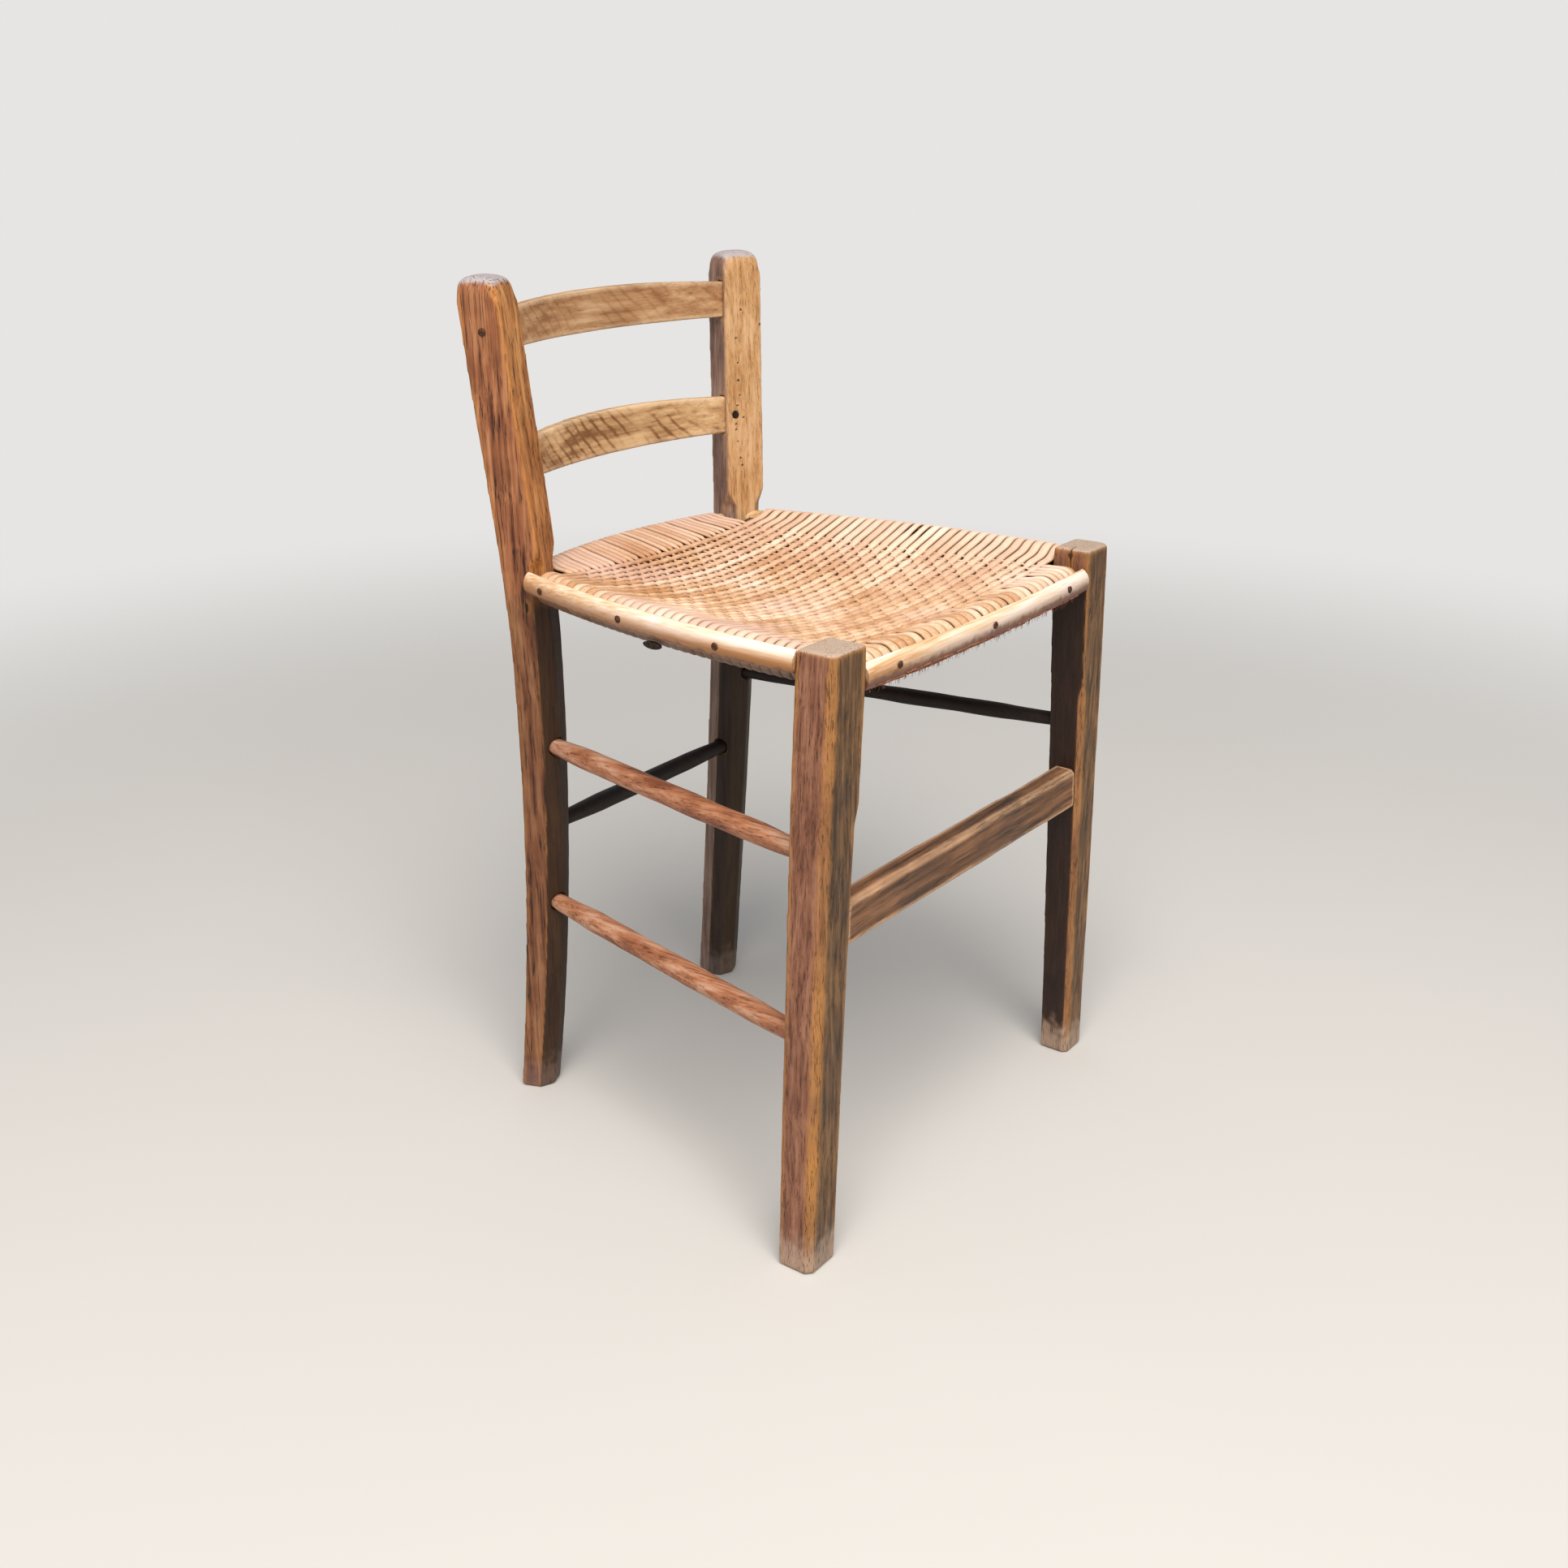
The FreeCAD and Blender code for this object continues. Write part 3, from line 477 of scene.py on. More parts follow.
UPRIGHTS = {
    "front_leg_left": (LEG_OAK, None),
    "front_leg_right": (LEG_OAK, leg_crack),
    "back_post_left": (LEFT_POST_OAK, post_crack),
    "back_post_right": (RIGHT_POST_OAK, wormholes),
}
for name, (wood, cuts) in UPRIGHTS.items():
    is_post = "post" in name
    upright = worn_copy(
        name, wood, "post_oak" if is_post else "leg_oak", square=1.4, rounding=3, dent=0.5,
        domed=180 if is_post else 12, cuts=cuts,
    )
    points, normals = points_and_normals(upright)
    # What follows is partly real staining and partly painted shade: below the seat, faces turned inward (on
    # the posts also the front faces, and all faces more weakly) go near-black where the seat's shade falls.
    inward = -points[:, :2] / np.linalg.norm(points[:, :2], axis=1)[:, None]
    hidden = ease(np.sum(normals[:, :2] * inward, axis=1), 0.15, 0.6)
    if is_post:
        hidden = np.maximum(hidden, ease(-normals[:, 1], 0.4, 0.65))
        hidden = np.maximum(hidden, 0.45)
    below = ease(-points[:, 2], -SEAT_TOP + 8 * MM, -SEAT_TOP + 35 * MM)
    ragged = np.array([noise.noise(Vector(point) * 160) for point in points])
    foot = ease(-points[:, 2] + 12 * MM * ragged, -36 * MM, -8 * MM) * (0.12 if is_post else 0.6)
    # Painted shade on inner faces above the seat, a little, partly real staining too.
    inner_face_shade = ease(-normals[:, 0] * np.sign(points[:, 0]), 0.6, 0.9)
    stain_and_shade = np.clip(hidden * below * 0.92 + inner_face_shade * (1 - below) * 0.2, 0, 1)
    keep_attribute(upright, "stained", stain_and_shade * (1 - foot))
    top = points[:, 2].max()
    top_end = ease(normals[:, 2], 0.3, 0.75) * ease(points[:, 2], top - 20 * MM, top - 8 * MM)
    keep_attribute(upright, "end_grain", np.maximum(top_end, foot))
    print(upright.name, "faces", len(upright.data.polygons))

# %% [markdown]
# ## Slats, rail and stretchers
# The slats were split thin and bent, so their figure runs in flames across the face. The rail kept the marks
# of the drawknife, and the stretchers were shaved round by eye, so their faces are the most uneven. The two
# under the seat, at the right and at the back, are nearly black: partly dark staining, partly painted shade.

# %% Wear the slats, the rail and the stretchers
for name, wood in (("top_slat", TOP_SLAT_OAK), ("lower_slat", LOW_SLAT_OAK)):
    worn_copy(name, wood, "slat_oak", square=1.3, rounding=4, dent=0.4)
worn_copy("front_rail", RAIL_OAK, "front_rail_oak", square=1.4, rounding=5, dent=1.6)
for name in ("stretcher_left_upper", "stretcher_left_lower"):
    worn_copy(name, ROUND_OAK, "stretcher_oak", square=1.3, rounding=3, dent=1.6)
# These two sit under the seat; their near-black is partly painted shade.
for name in ("stretcher_right_upper", "stretcher_back"):
    worn_copy(name, DARK_OAK, "stretcher_oak", square=1.3, rounding=3, dent=1.2)

# %% [markdown]
# ## Peeled rods along the seat's edges
# Two half-round strips, split from peeled willow or hazel, are nailed over the weave. They are pale, with a
# silky long fibre, painted shade in a warmer, darker tone on the faces that look down, and a ragged brown
# band along the lower edge.
# The one on the left ends square against the leg, so a block takes away what the solid has beyond it.

# %% The rod material and the two strips


def peeled_rod(name, grain, shaded_underside):
    """Peeled half-round rod: cream and honey, silky along its length, with painted shade on its downward
    faces.
    """
    material, tree, output = new_material(name)
    where = own_place(tree)
    stretched = along_grain(tree, where, grain)
    fibre = add(tree, "TexNoise", {"Vector": stretched, "Scale": 1000 / 1.6, "Detail": 3.0}).outputs[0]
    patches = add(tree, "TexNoise", {"Vector": stretched, "Scale": 1000 / 14, "Detail": 3.0}).outputs[0]
    tone = maths(tree, "MULTIPLY", fibre, 0.35)
    tone = maths(tree, "MULTIPLY_ADD", patches, 0.65, tone)
    colour = colour_ramp(tree, tone, (0.38, 0.5, 0.6), ("#CF9C68", "#ECD0B2", "#F8EADF"))
    # Painted shade: faces that look down are mixed towards the rod's shaded underside colour.
    upward = add(tree, "SeparateXYZ", {0: add(tree, "NewGeometry").outputs["Normal"]}).outputs["Z"]
    low = remap(tree, upward, 0.72, -0.3, 0.0, 0.9)
    colour = mix(tree, low, colour, linear(shaded_underside))
    colour = mix(tree, attribute(tree, "low_edge"), colour, linear("#6B3A26"))
    finish_material(tree, output, colour, 0.38, fibre, strength=0.35, depth=0.3)
    return material


def past_the_leg(points):
    """A block over the left strip's front end, which butts against the leg's rear face."""
    tip = points[points[:, 1].argmin()]
    leg = points_and_normals(bpy.data.objects["worn_front_leg_left"])[0]
    leg_rear = leg[np.abs(leg[:, 2] - tip[2]) < 3 * MM][:, 1].max()
    bpy.ops.object.select_all(action="DESELECT")
    bpy.ops.mesh.primitive_cube_add(size=40 * MM, location=(tip[0], leg_rear - 20.4 * MM, tip[2]))
    return bpy.context.object


# The last colour of each rod is the painted shade on its downward faces.
side_rod = peeled_rod("peeled willow rod, side", "Y", "#A5682F")
front_rod = peeled_rod("peeled willow rod, front", "X", "#85562A")
STRIP_WEAR = {"square": 1.0, "rounding": 2, "dent": 0.4}
side_strip = worn_copy("seat_slip_left", side_rod, "slip_wood", **STRIP_WEAR, cuts=past_the_leg)
front_strip = worn_copy("seat_slip_front", front_rod, "slip_wood", **STRIP_WEAR)


def stain_low_edge(strip, way, reach, most):
    """Store how brown a strip is: most at its lower edge, nothing above its reach, a share of its height."""
    points, _ = points_and_normals(strip)
    run = points[:, way]
    parts = 60
    part = ((run - run.min()) / np.ptp(run) * parts).astype(int)
    lowest, highest = np.full(parts + 1, np.inf), np.full(parts + 1, -np.inf)
    np.minimum.at(lowest, part, points[:, 2])
    np.maximum.at(highest, part, points[:, 2])
    share = (points[:, 2] - lowest[part]) / (highest[part] - lowest[part])
    ragged = np.array([noise.noise(Vector(point) * 220) for point in points])
    keep_attribute(strip, "low_edge", most * (1 - ease(share + 0.16 * ragged, 0.5 * reach, reach)))


stain_low_edge(side_strip, way=1, reach=0.25, most=0.6)
stain_low_edge(front_strip, way=0, reach=0.55, most=0.9)
print("edge strips:", side_strip.name, "and", front_strip.name)

# %% [markdown]
# ## The seat's skin
# The weave follows the seat's own surface: over a rail, across the dish, round the other rail and back
# underneath. The solids of the seat and its four rails are joined and remeshed into one smooth skin. A
# vertical plane cuts that skin in a closed line, and every strand is laid along such a line.

# %% Make the skin and cut it with planes
skin = merged_copy("woven_seat", "seat_skin")
for rail in ("seat_rail_front", "seat_rail_back", "seat_rail_left", "seat_rail_right"):
    core = merged_copy(rail, "core_" + rail)
    skin.select_set(True)
    bpy.context.view_layer.objects.active = skin
    bpy.ops.object.join()
apply_modifier(skin, "REMESH", mode="VOXEL", voxel_size=3.0 * MM, use_smooth_shade=True)
apply_modifier(skin, "SMOOTH", factor=0.5, iterations=2)


def plane_line(point, normal):
    """The longest closed line in which a plane cuts the skin, as a table of points."""
    work = bmesh.new()
    work.from_mesh(skin.data)
    everything = work.verts[:] + work.edges[:] + work.faces[:]
    bmesh.ops.bisect_plane(
        work, geom=everything, plane_co=point, plane_no=normal, clear_inner=True, clear_outer=True
    )
    lines = []
    left = dict.fromkeys(work.verts)
    while left:
        run = [left.popitem()[0]]
        while True:
            onward = [edge.other_vert(run[-1]) for edge in run[-1].link_edges]
            onward = [vert for vert in onward if vert in left]
            if not onward:
                break
            run.append(onward[0])
            del left[onward[0]]
        lines.append(np.array([vert.co[:] for vert in run]))
    work.free()
    return max(lines, key=lambda line: np.ptp(line, axis=0).sum())


def evenly(line, step):
    """A closed line with its points one step apart, lightly smoothed."""
    closed = np.vstack([line, line[:1]])
    along = np.concatenate([[0], np.cumsum(np.linalg.norm(np.diff(closed, axis=0), axis=1))])
    count = int(round(along[-1] / step))
    at = np.arange(count) * along[-1] / count
    even = np.stack([np.interp(at, along, closed[:, axis]) for axis in range(3)], axis=1)
    for _ in range(3):
        even = (np.roll(even, 1, axis=0) + 2 * even + np.roll(even, -1, axis=0)) / 4
    return even


def outward_of(line, sideways):
    """The direction out of the seat at each point of a line, in the line's own plane."""
    run = np.roll(line, -1, axis=0) - np.roll(line, 1, axis=0)
    run /= np.linalg.norm(run, axis=1)[:, None]
    out = np.cross(run, sideways)
    if np.sum(out * (line - line.mean(axis=0))) < 0:
        out = -out
    return out


print("skin faces:", len(skin.data.polygons))

# %% [markdown]
# ## Laying the strands
# One set of cords runs from side to side and covers the side rails; the other runs from front to back, in
# eight hanks of four that fan out towards the wider front. Where they cross, each goes over one and under
# the next. The height of a cord at a crossing is a cosine of its place, and its neighbour uses the opposite
# sign, so they never meet. Each strand is a row of oval rings, which mesh code makes far better than any
# primitive could, because the path is not the same for any two of them.

# %% Sizes of the weave
ROW_FIRST, ROW_LAST, ROW_COUNT = 20.0, 277.0, 32
ROW_PITCH = (ROW_LAST - ROW_FIRST) / (ROW_COUNT - 1)
HANKS, HANK_CORDS = 8, 4
COLUMN_COUNT = HANKS * HANK_CORDS
FRONT_HALF, BACK_HALF, SEAT_DEPTH = 146.0, 106.0, 304.5
HANK_GAP = 1.6
CORD_THICK, THREAD_THICK, EDGE_THICK = 3.4, 1.8, 2.5
FIELD_DEPTH, EDGE_DEPTH = 2.6, 1.5
CORD_LIFT, THREAD_LIFT = 0.45, 0.4
CORD_PINCH = 0.16
SLIT_ROWS, SLIT_SIDE = (14, 15), 148.0
RING_SIDES = 8
RING_STEP = 2.4
print("row pitch in mm:", round(ROW_PITCH, 2))


def half_width(y):
    """Half the width of the woven field, in millimetres, at a distance behind the front legs' line."""
    return FRONT_HALF + (BACK_HALF - FRONT_HALF) * np.clip(y / SEAT_DEPTH, 0, 1)


def wander(seed, along, size):
    """A slow random drift along a strand."""
    return np.array([noise.noise(Vector((seed * 7.31, a * size, 0.5))) for a in along])


# %% [markdown]
# ## From a line to a strand
# Every ring knows how far along its cord it lies and each of its points how far round, and the straw's
# material reads both. Each strand also keeps a tone of its own, because no two twists of straw dry to the
# same colour.

# %% Turn a line into a strand of oval rings


class Strands:
    """Collects rings, faces, a map along the strands and one tone per strand for a single mesh."""

    def __init__(self):
        self.points, self.faces, self.uvs, self.tones = [], [], [], []
        self.count = 0

    def lay(self, line, out, sideways, width, thick, tone, closed=True):
        """One strand: width and thick are tables in metres, as long as the line."""
        rings = len(line)
        angle = np.arange(RING_SIDES) * 2 * math.pi / RING_SIDES
        across = np.sin(angle)[None, :, None] * (width / 2)[:, None, None] * sideways[None, None, :]
        up = np.cos(angle)[None, :, None] * (thick / 2)[:, None, None] * out[:, None, :]
        self.points.append((line[:, None, :] + across + up).reshape(-1, 3))
        step = np.linalg.norm(line[1] - line[0])
        for ring in range(rings if closed else rings - 1):
            onward = (ring + 1) % rings
            for side in range(RING_SIDES):
                beside = (side + 1) % RING_SIDES
                corners = (ring, side), (ring, beside), (onward, beside), (onward, side)
                self.faces.append([self.count + r * RING_SIDES + s for r, s in corners])
                lengths = ring * step, ring * step, (ring + 1) * step, (ring + 1) * step
                turns = side, side + 1, side + 1, side
                self.uvs.extend([(u, turn / RING_SIDES) for u, turn in zip(lengths, turns)])
        if not closed:
            self.faces.append([self.count + side for side in range(RING_SIDES)])
            last = self.count + (rings - 1) * RING_SIDES
            self.faces.append([last + side for side in reversed(range(RING_SIDES))])
            self.uvs.extend([(0.0, 0.0)] * 2 * RING_SIDES)
        self.tones.append(np.repeat(np.broadcast_to(tone, rings), RING_SIDES))
        self.count += rings * RING_SIDES

    def piece(self, name, material, slot, nodes=()):
        """The finished mesh, with its normals outward and smooth."""
        mesh = bpy.data.meshes.new(name)
        mesh.from_pydata(np.vstack(self.points).tolist(), [], self.faces)
        layer = mesh.uv_layers.new(name="along")
        layer.data.foreach_set("uv", np.array(self.uvs, dtype=np.float32).ravel())
        piece = bpy.data.objects.new(name, mesh)
        bpy.context.collection.objects.link(piece)
        mesh.materials.append(material)
        select_only(piece)
        bpy.ops.object.mode_set(mode="EDIT")
        bpy.ops.mesh.select_all(action="SELECT")
        bpy.ops.mesh.normals_make_consistent(inside=False)
        bpy.ops.object.mode_set(mode="OBJECT")
        bpy.ops.object.shade_smooth()
        keep_attribute(piece, "tone", np.concatenate(self.tones))
        if nodes:
            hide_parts(*nodes)
        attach(piece, "root")
        print(name, "triangles", 2 * len(self.faces))
        return piece


# %% [markdown]
# ## Twisted straw
# The cords are rye straw or rush, twisted while damp, in straw yellow, peach and a pinkish grey where light
# has bleached them. Each strand has its own tone, the whole seat drifts slowly in colour, and fine fibres
# run aslant along every cord because of the twist. The fibres are drawn about 0.7 mm wide. Shade is painted
# in too: a darker brown on each cord's flanks, where it turns into the gap beside its neighbour, and on every
# face that looks down, where it is partly dust as well.

# %% The straw material


def twisted_straw(name, dark, middle, light, fibre=0.7):
    """Straw cord: three colours along its ramp, fibres running aslant."""
    material, tree, output = new_material(name)
    along = add(tree, "UVMap", uv_map="along").outputs[0]
    where = own_place(tree)
    round_cord = add(tree, "SeparateXYZ", {0: along}).outputs["Y"]
    lengthwise = add(tree, "Mapping", {"Vector": along, "Scale": (0.22 * 1000 / fibre, 16.0, 1.0)})
    twist = add(tree, "SeparateXYZ", {0: lengthwise.outputs[0]})
    slant = maths(tree, "MULTIPLY_ADD", twist.outputs["X"], 0.35, twist.outputs["Y"])
    aslant = add(tree, "CombineXYZ", {0: twist.outputs["X"], 1: slant}).outputs[0]
    fibre_noise = {"Vector": aslant, "Scale": 1.0, "Detail": 2.0, "Roughness": 0.7}
    fibres = add(tree, "TexNoise", fibre_noise).outputs[0]
    own = attribute(tree, "tone")
    drift = add(tree, "TexNoise", {"Vector": where, "Scale": 22.0, "Detail": 3.0}).outputs[0]
    tone = maths(tree, "MULTIPLY", fibres, 0.34)
    tone = maths(tree, "MULTIPLY_ADD", drift, 0.46, tone)
    tone = maths(tree, "MULTIPLY_ADD", own, 0.16, tone)
    colour = colour_ramp(tree, tone, (0.36, 0.52, 0.66), (dark, middle, light))
    bleached = add(tree, "TexNoise", {"Vector": where, "Scale": 9.0, "Detail": 2.0}).outputs[0]
    pink = remap(tree, bleached, 0.5, 0.66, 0.0, 0.6)
    colour = mix(tree, pink, colour, linear("#E8CBBE"))
    place_in_seat = add(tree, "SeparateXYZ", {0: where})
    right = remap(tree, place_in_seat.outputs["X"], 0.02, 0.18, 0.0, 0.55)
    colour = mix(tree, right, colour, linear("#F6DCCB"))
    rear = remap(tree, place_in_seat.outputs["Y"], 0.08, 0.15, 0.0, 0.5)
    colour = mix(tree, rear, colour, linear("#B88C74"))
    # Painted shade: each cord's flanks, where it turns into the gap beside its neighbour, are mixed towards
    # dark brown.
    from_middle = maths(tree, "SUBTRACT", round_cord, 0.5)
    from_middle = maths(tree, "ABSOLUTE", from_middle)
    flank_shade = remap(tree, from_middle, 0.4, 0.27, 0.0, 0.55)
    colour = mix(tree, flank_shade, colour, linear("#7A4C28"))
    # Painted shade, with some dust: faces that look down are mixed towards a dark brown.
    upward = add(tree, "SeparateXYZ", {0: add(tree, "NewGeometry").outputs["Normal"]}).outputs["Z"]
    under = remap(tree, upward, -0.05, -0.5, 0.0, 0.8)
    colour = mix(tree, under, colour, linear("#4E3220"))
    finish_material(tree, output, colour, 0.5, fibres, strength=0.6, depth=0.35, shine=0.3)
    return material


STRAW = twisted_straw("twisted rye straw", "#B98558", "#DFBA97", "#F3DDC6")

# %% [markdown]
# ## The cords across
# These thick cords are what the eye sees, as rows of beads. Where one dips under a thread it is pinched, and
# how hard it is pinched changes at random from crossing to crossing. That leaves the scattered dark pits of
# a seat made by hand.

# %% Cords from side to side
source = random.Random(11)
slackness = np.array(
    [[0.3 + 1.9 * source.random() ** 2 for _ in range(COLUMN_COUNT)] for _ in range(ROW_COUNT)]
)
cords = Strands()
for row in range(ROW_COUNT):
    y = ROW_FIRST + row * ROW_PITCH
    sideways = np.array([0.0, 1.0, 0.0])
    line = evenly(plane_line(place(0, y, 0), Vector(sideways)), RING_STEP * MM)
    out = outward_of(line, sideways)
    x = (line[:, 0] - LEGS_LINE.x) / MM
    column = x / half_width(y) * COLUMN_COUNT / 2 + (COLUMN_COUNT - 1) / 2
    woven = ease((half_width(y) - np.abs(x)), 0.0, 9.0)
    over = np.cos(math.pi * (column + row)) * woven
    along = np.arange(len(line)) * RING_STEP * MM
    depth = EDGE_DEPTH + (FIELD_DEPTH - EDGE_DEPTH) * woven - CORD_LIFT * over
    depth += 0.35 * wander(row, along, 30) * woven
    line = line - out * depth[:, None] * MM
    line[:, 1] += 0.7 * MM * wander(row + 90, along, 18) * woven
    crossing = np.clip(np.round(column).astype(int), 0, COLUMN_COUNT - 1)
    loose = slackness[row, crossing] + 1.3 * max(0.0, 1 - row / 4)
    width = ROW_PITCH * (0.97 - CORD_PINCH * loose * (1 - over) / 2 * woven)
    width *= 1 + 0.08 * wander(row + 40, along, 60)
    if row in SLIT_ROWS:
        width *= 1 - 0.22 * ease(x, SLIT_SIDE - 8, SLIT_SIDE)
    thick = EDGE_THICK + (CORD_THICK - EDGE_THICK) * woven
    cords.lay(line, out, sideways, width * MM, thick * MM, source.random())
cords.piece("straw_cords_across", STRAW, "seat_cane", ["woven_seat"])

# %% [markdown]
# ## The threads along
# In the field the threads are narrow and almost vanish between the cords. Over the front and back rails
# nothing crosses them, so there they widen until they lie side by side and cover the wood. They are drawn
# together a little behind the front rail, hank by hank.

# %% Threads from front to back
threads = Strands()
for column in range(COLUMN_COUNT):
    hank, cord = divmod(column, HANK_CORDS)
    ends = []
    for half in (FRONT_HALF, BACK_HALF):
        hank_width = 2 * half / HANKS
        middle = (hank + 0.5) * hank_width - half
        ends.append(middle + (cord - (HANK_CORDS - 1) / 2) * (hank_width - HANK_GAP) / HANK_CORDS)
    front, back = place(ends[0], 0, 0), place(ends[1], SEAT_DEPTH, 0)
    run = (back - front).normalized()
    sideways = np.array([run.y, -run.x, 0.0])
    line = evenly(plane_line(front, Vector(sideways)), RING_STEP * MM)
    out = outward_of(line, sideways)
    y = (line[:, 1] - LEGS_LINE.y) / MM
    row = (y - ROW_FIRST) / ROW_PITCH
    woven = ease(y, ROW_FIRST - 7, ROW_FIRST) * ease(-y, -ROW_LAST - 7, -ROW_LAST)
    over = -np.cos(math.pi * (row + column)) * woven
    along = np.arange(len(line)) * RING_STEP * MM
    depth = EDGE_DEPTH + (FIELD_DEPTH - EDGE_DEPTH) * woven - THREAD_LIFT * over
    line = line - out * depth[:, None] * MM
    pitch = 2 * half_width(y) / COLUMN_COUNT
    drawn_in = ease(y, -6, ROW_FIRST - 4) * ease(-y, -ROW_FIRST - 30, -ROW_FIRST - 8) * (out[:, 2] > 0)
    line += sideways * ((HANK_CORDS - 1) / 2 - cord) * 0.9 * MM * drawn_in[:, None]
    width = pitch * (0.95 - 0.54 * woven) * (1 + 0.1 * wander(column + 200, along, 50)) - drawn_in * 0.6
    thick = EDGE_THICK + (THREAD_THICK - EDGE_THICK) * woven
    threads.lay(line, out, sideways, width * MM, thick * MM, source.random() - 0.5 * woven)
threads.piece("straw_threads_along", STRAW, "seat_cane", ["woven_seat"])

# %% [markdown]
# ## Frayed bast and the knot
# Under the front strip the covering has frayed into fibres, with a few dark cut ends towards the right leg.
# The fibres' reddish brown is partly their own colour and partly painted shade, that of the roll of straw
# under the strip. Each one is a thin strand of its own: the long ones lie below the strip's lowest line,
# short ones cling to its lower face, and fine hairs hang from both. The lump under the left edge is where a
# cord was knotted off and has gone almost black.

# %% Bast, cut ends and knot


def dark_bast(name, dark, light):
    """Dried bark fibre between two colours, dull and streaky."""
    material, tree, output = new_material(name)
    where = own_place(tree)
    stretched = along_grain(tree, where, "X", 0.2)
    streaks = add(tree, "TexNoise", {"Vector": stretched, "Scale": 1000 / 1.2}).outputs[0]
    colour = colour_ramp(tree, streaks, (0.35, 0.65), (dark, light))
    finish_material(tree, output, colour, 0.7, streaks, strength=0.7, depth=0.4, shine=0.25)
    return material


strip_points, _ = points_and_normals(front_strip)
STRIP_LEFT, STRIP_RIGHT = strip_points[:, 0].min(), strip_points[:, 0].max()


def under_strip(x, rise=0.0):
    """The front strip's lowest point at one place along it, or the foremost one at a rise above that."""
    near = strip_points[np.abs(strip_points[:, 0] - x) < 2 * MM]
    lowest = near[near[:, 2].argmin()]
    if rise:
        level = near[np.abs(near[:, 2] - lowest[2] - rise) < 0.9 * MM]
        return level[level[:, 1].argmin()]
    return lowest


def smoothed(line):
    """An open line with each point moved towards the mean of its neighbours, three times."""
    for _ in range(3):
        line[1:-1] = (line[:-2] + 2 * line[1:-1] + line[2:]) / 4
    return line


RIGHTWARD, FRONTWARD, UPWARD = np.array([[1.0, 0.0, 0.0], [0.0, -1.0, 0.0], [0.0, 0.0, 1.0]])


def along_strip(share):
    """A place along the front strip, from its left end at 0 to its right end at 1."""
    return STRIP_LEFT + (STRIP_RIGHT - STRIP_LEFT) * share


def lay_bast(strands, line, sideways, width, thick):
    """One open fibre that faces the front; width and thick are tables in millimetres."""
    out = np.tile(FRONTWARD, (len(line), 1))
    strands.lay(line, out, sideways, width * MM, thick * MM, source.random(), closed=False)


LONG_FIBRES, CLINGING_FIBRES, HAIRS, CUT_ENDS = 9, 16, 260, 7

bast = Strands()
for fibre in range(LONG_FIBRES):
    xs = np.linspace(along_strip(source.uniform(0.0, 0.12)), along_strip(source.uniform(0.86, 0.97)), 90)
    line = np.array([under_strip(x) for x in xs])
    steps = np.arange(len(xs)) * 3.0
    line[:, 1] += (1.2 + 0.45 * fibre + 0.8 * wander(fibre + 300, steps, 0.05)) * MM
    line[:, 2] += (0.9 - 0.42 * fibre + 0.9 * wander(fibre + 320, steps, 0.06)) * MM
    thick = 1.1 + 0.5 * wander(fibre + 340, steps, 0.2)
    lay_bast(bast, line, UPWARD, thick * 1.5, thick)
for fibre in range(CLINGING_FIBRES):
    first = source.uniform(0.0, 0.8)
    xs = np.linspace(along_strip(first), along_strip(first + 0.17), 30)
    rise = source.uniform(0.8, 3.6) * MM
    line = smoothed(np.array([under_strip(x, rise) for x in xs]))
    steps = np.arange(len(xs)) * 1.8
    line[:, 1] -= 0.25 * MM
    line[:, 2] += 0.7 * wander(fibre + 400, steps, 0.08) * MM
    thick = 0.8 + 0.4 * wander(fibre + 420, steps, 0.2)
    lay_bast(bast, line, UPWARD, thick * 1.4, thick)
for hair in range(HAIRS):
    start = under_strip(along_strip(source.uniform(0.02, 0.97)))
    length = source.uniform(2.0, 6.5)
    lean, curl = source.uniform(-0.6, 0.6), source.uniform(-1.2, 1.2)
    share = np.linspace(0, 1, 6)
    line = start + np.stack([
        (lean * share + 0.3 * curl * share ** 2) * length * MM,
        (1.5 + 0.2 * curl * share * length) * MM,
        (1.0 - share * length) * MM,
    ], axis=1)
    thin = np.full(6, 0.35) * (1 - 0.6 * share)
    lay_bast(bast, line, RIGHTWARD, thin, thin)
# The bast's reddish brown is partly painted shade, that of the shaded roll under the strip.
bast.piece("frayed_bast", dark_bast("reddish brown bast, partly painted shade", "#6B3A26", "#B5795A"), "seat_cane", ["woven_seat"])

stubs = Strands()
for stub in range(CUT_ENDS):
    start = under_strip(STRIP_RIGHT - (14 + 4.5 * stub + source.uniform(-1, 1)) * MM)
    length, lean = source.uniform(3.0, 7.0), source.uniform(-0.8, 0.8)
    share = np.linspace(0, 1, 5)
    drop = [lean * share * length, 2.5 + 0 * share, 2.0 - share * length]
    line = start + np.stack(drop, axis=1) * MM
    width = 3.0 - 1.2 * share
    out = np.tile(FRONTWARD, (len(line), 1))
    stubs.lay(line, out, RIGHTWARD, width * MM, width * 0.6 * MM, 0.5, closed=False)
KNOT_BAST = dark_bast("blackened bast", "#17100C", "#3A2A20")
stubs.piece("cut_ends", KNOT_BAST, "seat_cane", ["woven_seat"])
worn_copy("cane_knot", KNOT_BAST, "knot_cane", square=0.8, rounding=1, dent=1.5)

# %% [markdown]
# ## Stuffing
# Seats like this are packed with loose straw between their two layers, which is why no light shows through
# the gaps. Here it is the skin itself, drawn in by a few millimetres, in a near-black straw whose dark colour
# is painted shade, so that the pits between the cords stay dark.

# %% The stuffing between the two layers


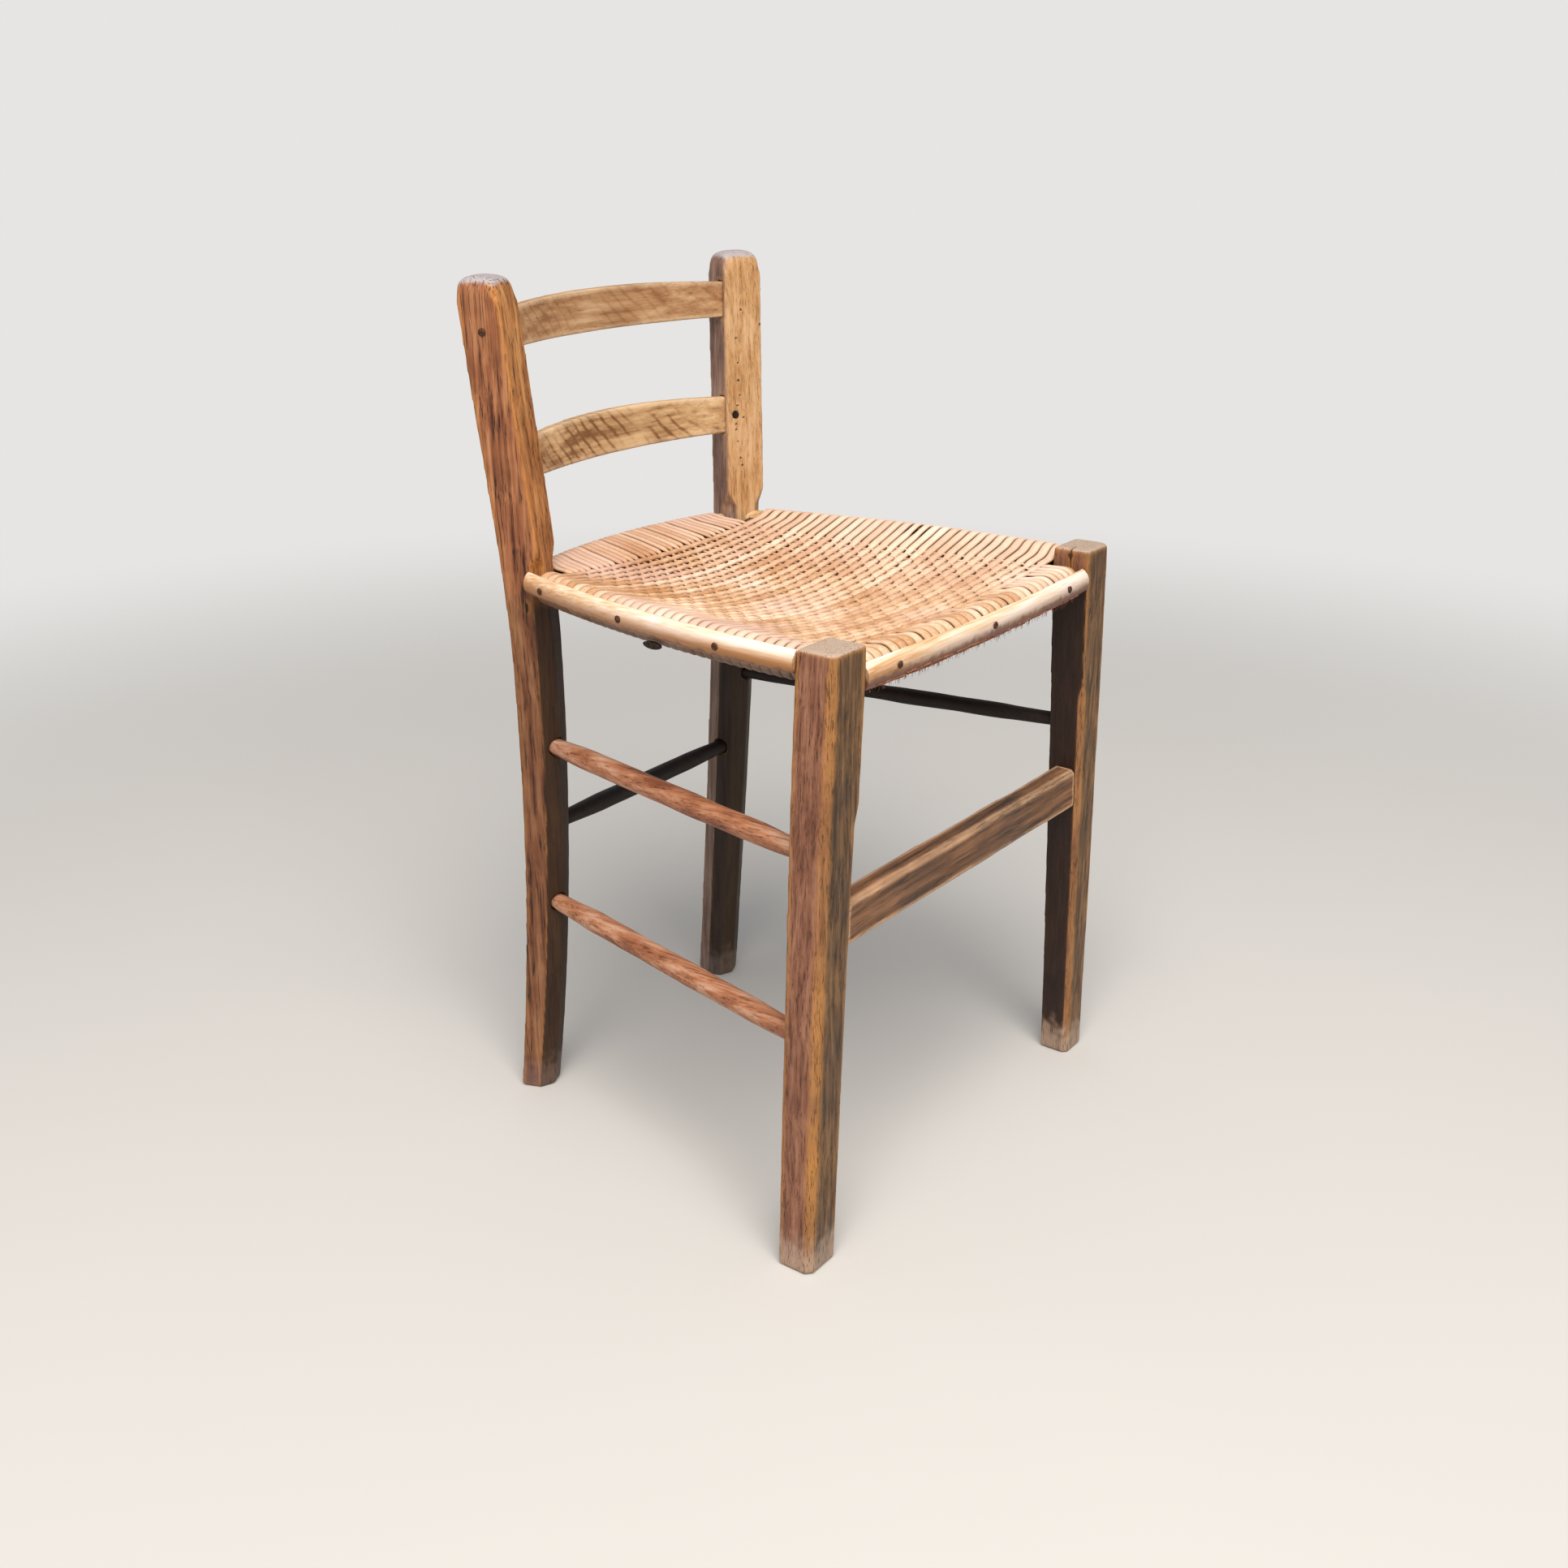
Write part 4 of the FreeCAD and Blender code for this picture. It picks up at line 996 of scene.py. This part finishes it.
def shaded_stuffing_straw():
    """Straw stuffing inside the seat, its near-black browns painted shade: coarse and quite dull."""
    material, tree, output = new_material("straw stuffing in painted shade")
    where = own_place(tree)
    tangle = {"Vector": where, "Scale": 1000 / 3, "Detail": 3.0, "Distortion": 1.5}
    stalks = add(tree, "TexNoise", tangle).outputs[0]
    # Painted shade: near-black browns, so that the pits between the cords stay dark.
    colour = colour_ramp(tree, stalks, (0.0, 1.0), ("#1E130C", "#5E4026"))
    finish_material(tree, output, colour, 0.9, stalks, strength=0.8, depth=1.0)
    return material


STUFFING_DEPTH = 4.2
apply_modifier(skin, "DISPLACE", strength=-STUFFING_DEPTH * MM, mid_level=0.0)
skin.name = "straw_stuffing"
skin.data.materials.clear()
skin.data.materials.append(shaded_stuffing_straw())
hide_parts("woven_seat")
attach(skin, "root")
print("stuffing faces:", len(skin.data.polygons))

# %% [markdown]
# ## Small metal and hidden wood
# Iron nails in old wood turn brown and rough. The rails are covered by the weave except for their ends, so
# a plain dull wood is enough there.

# %% Rust, peg and rails


def rusted_iron():
    """Hand nails: brown-black oxide with orange bloom, rough."""
    material, tree, output = new_material("rusted iron nail")
    where = own_place(tree)
    scale = add(tree, "TexNoise", {"Vector": where, "Scale": 1000 / 1.5, "Detail": 4.0}).outputs[0]
    colour = colour_ramp(tree, scale, (0.4, 0.65), ("#2A1B16", "#6B3F26"))
    finish_material(tree, output, colour, 0.75, scale, strength=0.5, depth=0.2, metal=0.35)
    return material


def dress(node, material):
    """Give a solid of the frame its finish, keeping its shape."""
    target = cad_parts[node]
    target.data.materials.clear()
    target.data.materials.append(material)


IRON = rusted_iron()
for name in ("slip_nails_front", "slip_nails_left", "post_nail", "leg_top_nail"):
    dress(name, IRON)
# The peg shares the hidden stretchers' near-black, painted shade included.
dress("post_peg", DARK_OAK)
for name in ("seat_rail_front", "seat_rail_back", "seat_rail_left", "seat_rail_right"):
    dress(name, LOW_SLAT_OAK)
print("nails, peg and rails dressed")

# %% [markdown]
# ## Floor and light
# A plain pale floor keeps the chair's soft shadow. The sky in the photograph was overcast, so most light
# comes evenly from the whole world, and one large lamp in front and to the left gives the faces their turn.
# The floor thins out into clear air at its edge, so no hard horizon crosses the picture. The plain backdrop
# is what the camera alone sees of the sky, and it adds no light to the chair.

# %% Floor, lamp and sky
FLOOR_COLOUR, BACKDROP_COLOUR = "#CFCDCA", "#E6E5E3"
FLOOR_SIZE, FADE_FROM, FADE_TO = 8, 0.9, 2.2
SKY_COLOUR, SKY_STRENGTH = "#F1F3F6", 0.46
LAMP_COLOUR, LAMP_POWER, LAMP_SIZE = "#FFF8F0", 130, 2.2


def pale_floor():
    """A matt pale floor with a faint, broad unevenness."""
    material, tree, output = new_material("pale matt floor")
    where = own_place(tree)
    cloud = add(tree, "TexNoise", {"Vector": where, "Scale": 1.5, "Detail": 3.0}).outputs[0]
    shade = remap(tree, cloud, 0.0, 1.0, 0.94, 1.0)
    colour = mix(tree, shade, (0, 0, 0, 1), linear(FLOOR_COLOUR))
    surface = add(tree, "BsdfPrincipled", {"Base Color": colour, "Roughness": 0.85})
    away = add(tree, "VectorMath", {0: where}, operation="LENGTH").outputs["Value"]
    fade = add(
        tree, "MapRange", {0: away, 1: FADE_FROM, 2: FADE_TO}, interpolation_type="SMOOTHSTEP"
    ).outputs[0]
    open_air = add(tree, "BsdfTransparent")
    soft_edge = add(tree, "MixShader", {0: fade, 1: surface.outputs[0], 2: open_air.outputs[0]})
    tree.links.new(soft_edge.outputs[0], output.inputs[0])
    return material


bpy.ops.object.select_all(action="DESELECT")
bpy.ops.mesh.primitive_plane_add(size=FLOOR_SIZE, location=(0, 0, 0))
floor = bpy.context.object
floor.name = "pale_floor"
floor.data.materials.append(pale_floor())

world = bpy.data.worlds.new("overcast")
bpy.context.scene.world = world
world.use_nodes = True
sky = world.node_tree
sky.nodes.clear()
seen = add(sky, "LightPath").outputs["Is Camera Ray"]
light = add(sky, "Background", {"Color": linear(SKY_COLOUR), "Strength": SKY_STRENGTH})
backdrop = add(sky, "Background", {"Color": linear(BACKDROP_COLOUR), "Strength": 1.0})
both = add(sky, "MixShader", {0: seen, 1: light.outputs[0], 2: backdrop.outputs[0]})
add(sky, "OutputWorld", {0: both.outputs[0]})

lamp_data = bpy.data.lights.new("window", "AREA")
lamp_data.shape = "SQUARE"
lamp_data.size = LAMP_SIZE
lamp_data.energy = LAMP_POWER
lamp_data.color = linear(LAMP_COLOUR)[:3]
lamp = bpy.data.objects.new("window", lamp_data)
lamp.location = place(-1300, -1000, 2700)
lamp.rotation_euler = (Vector((0, 0, 0.3)) - lamp.location).to_track_quat("-Z", "Y").to_euler()
bpy.context.collection.objects.link(lamp)
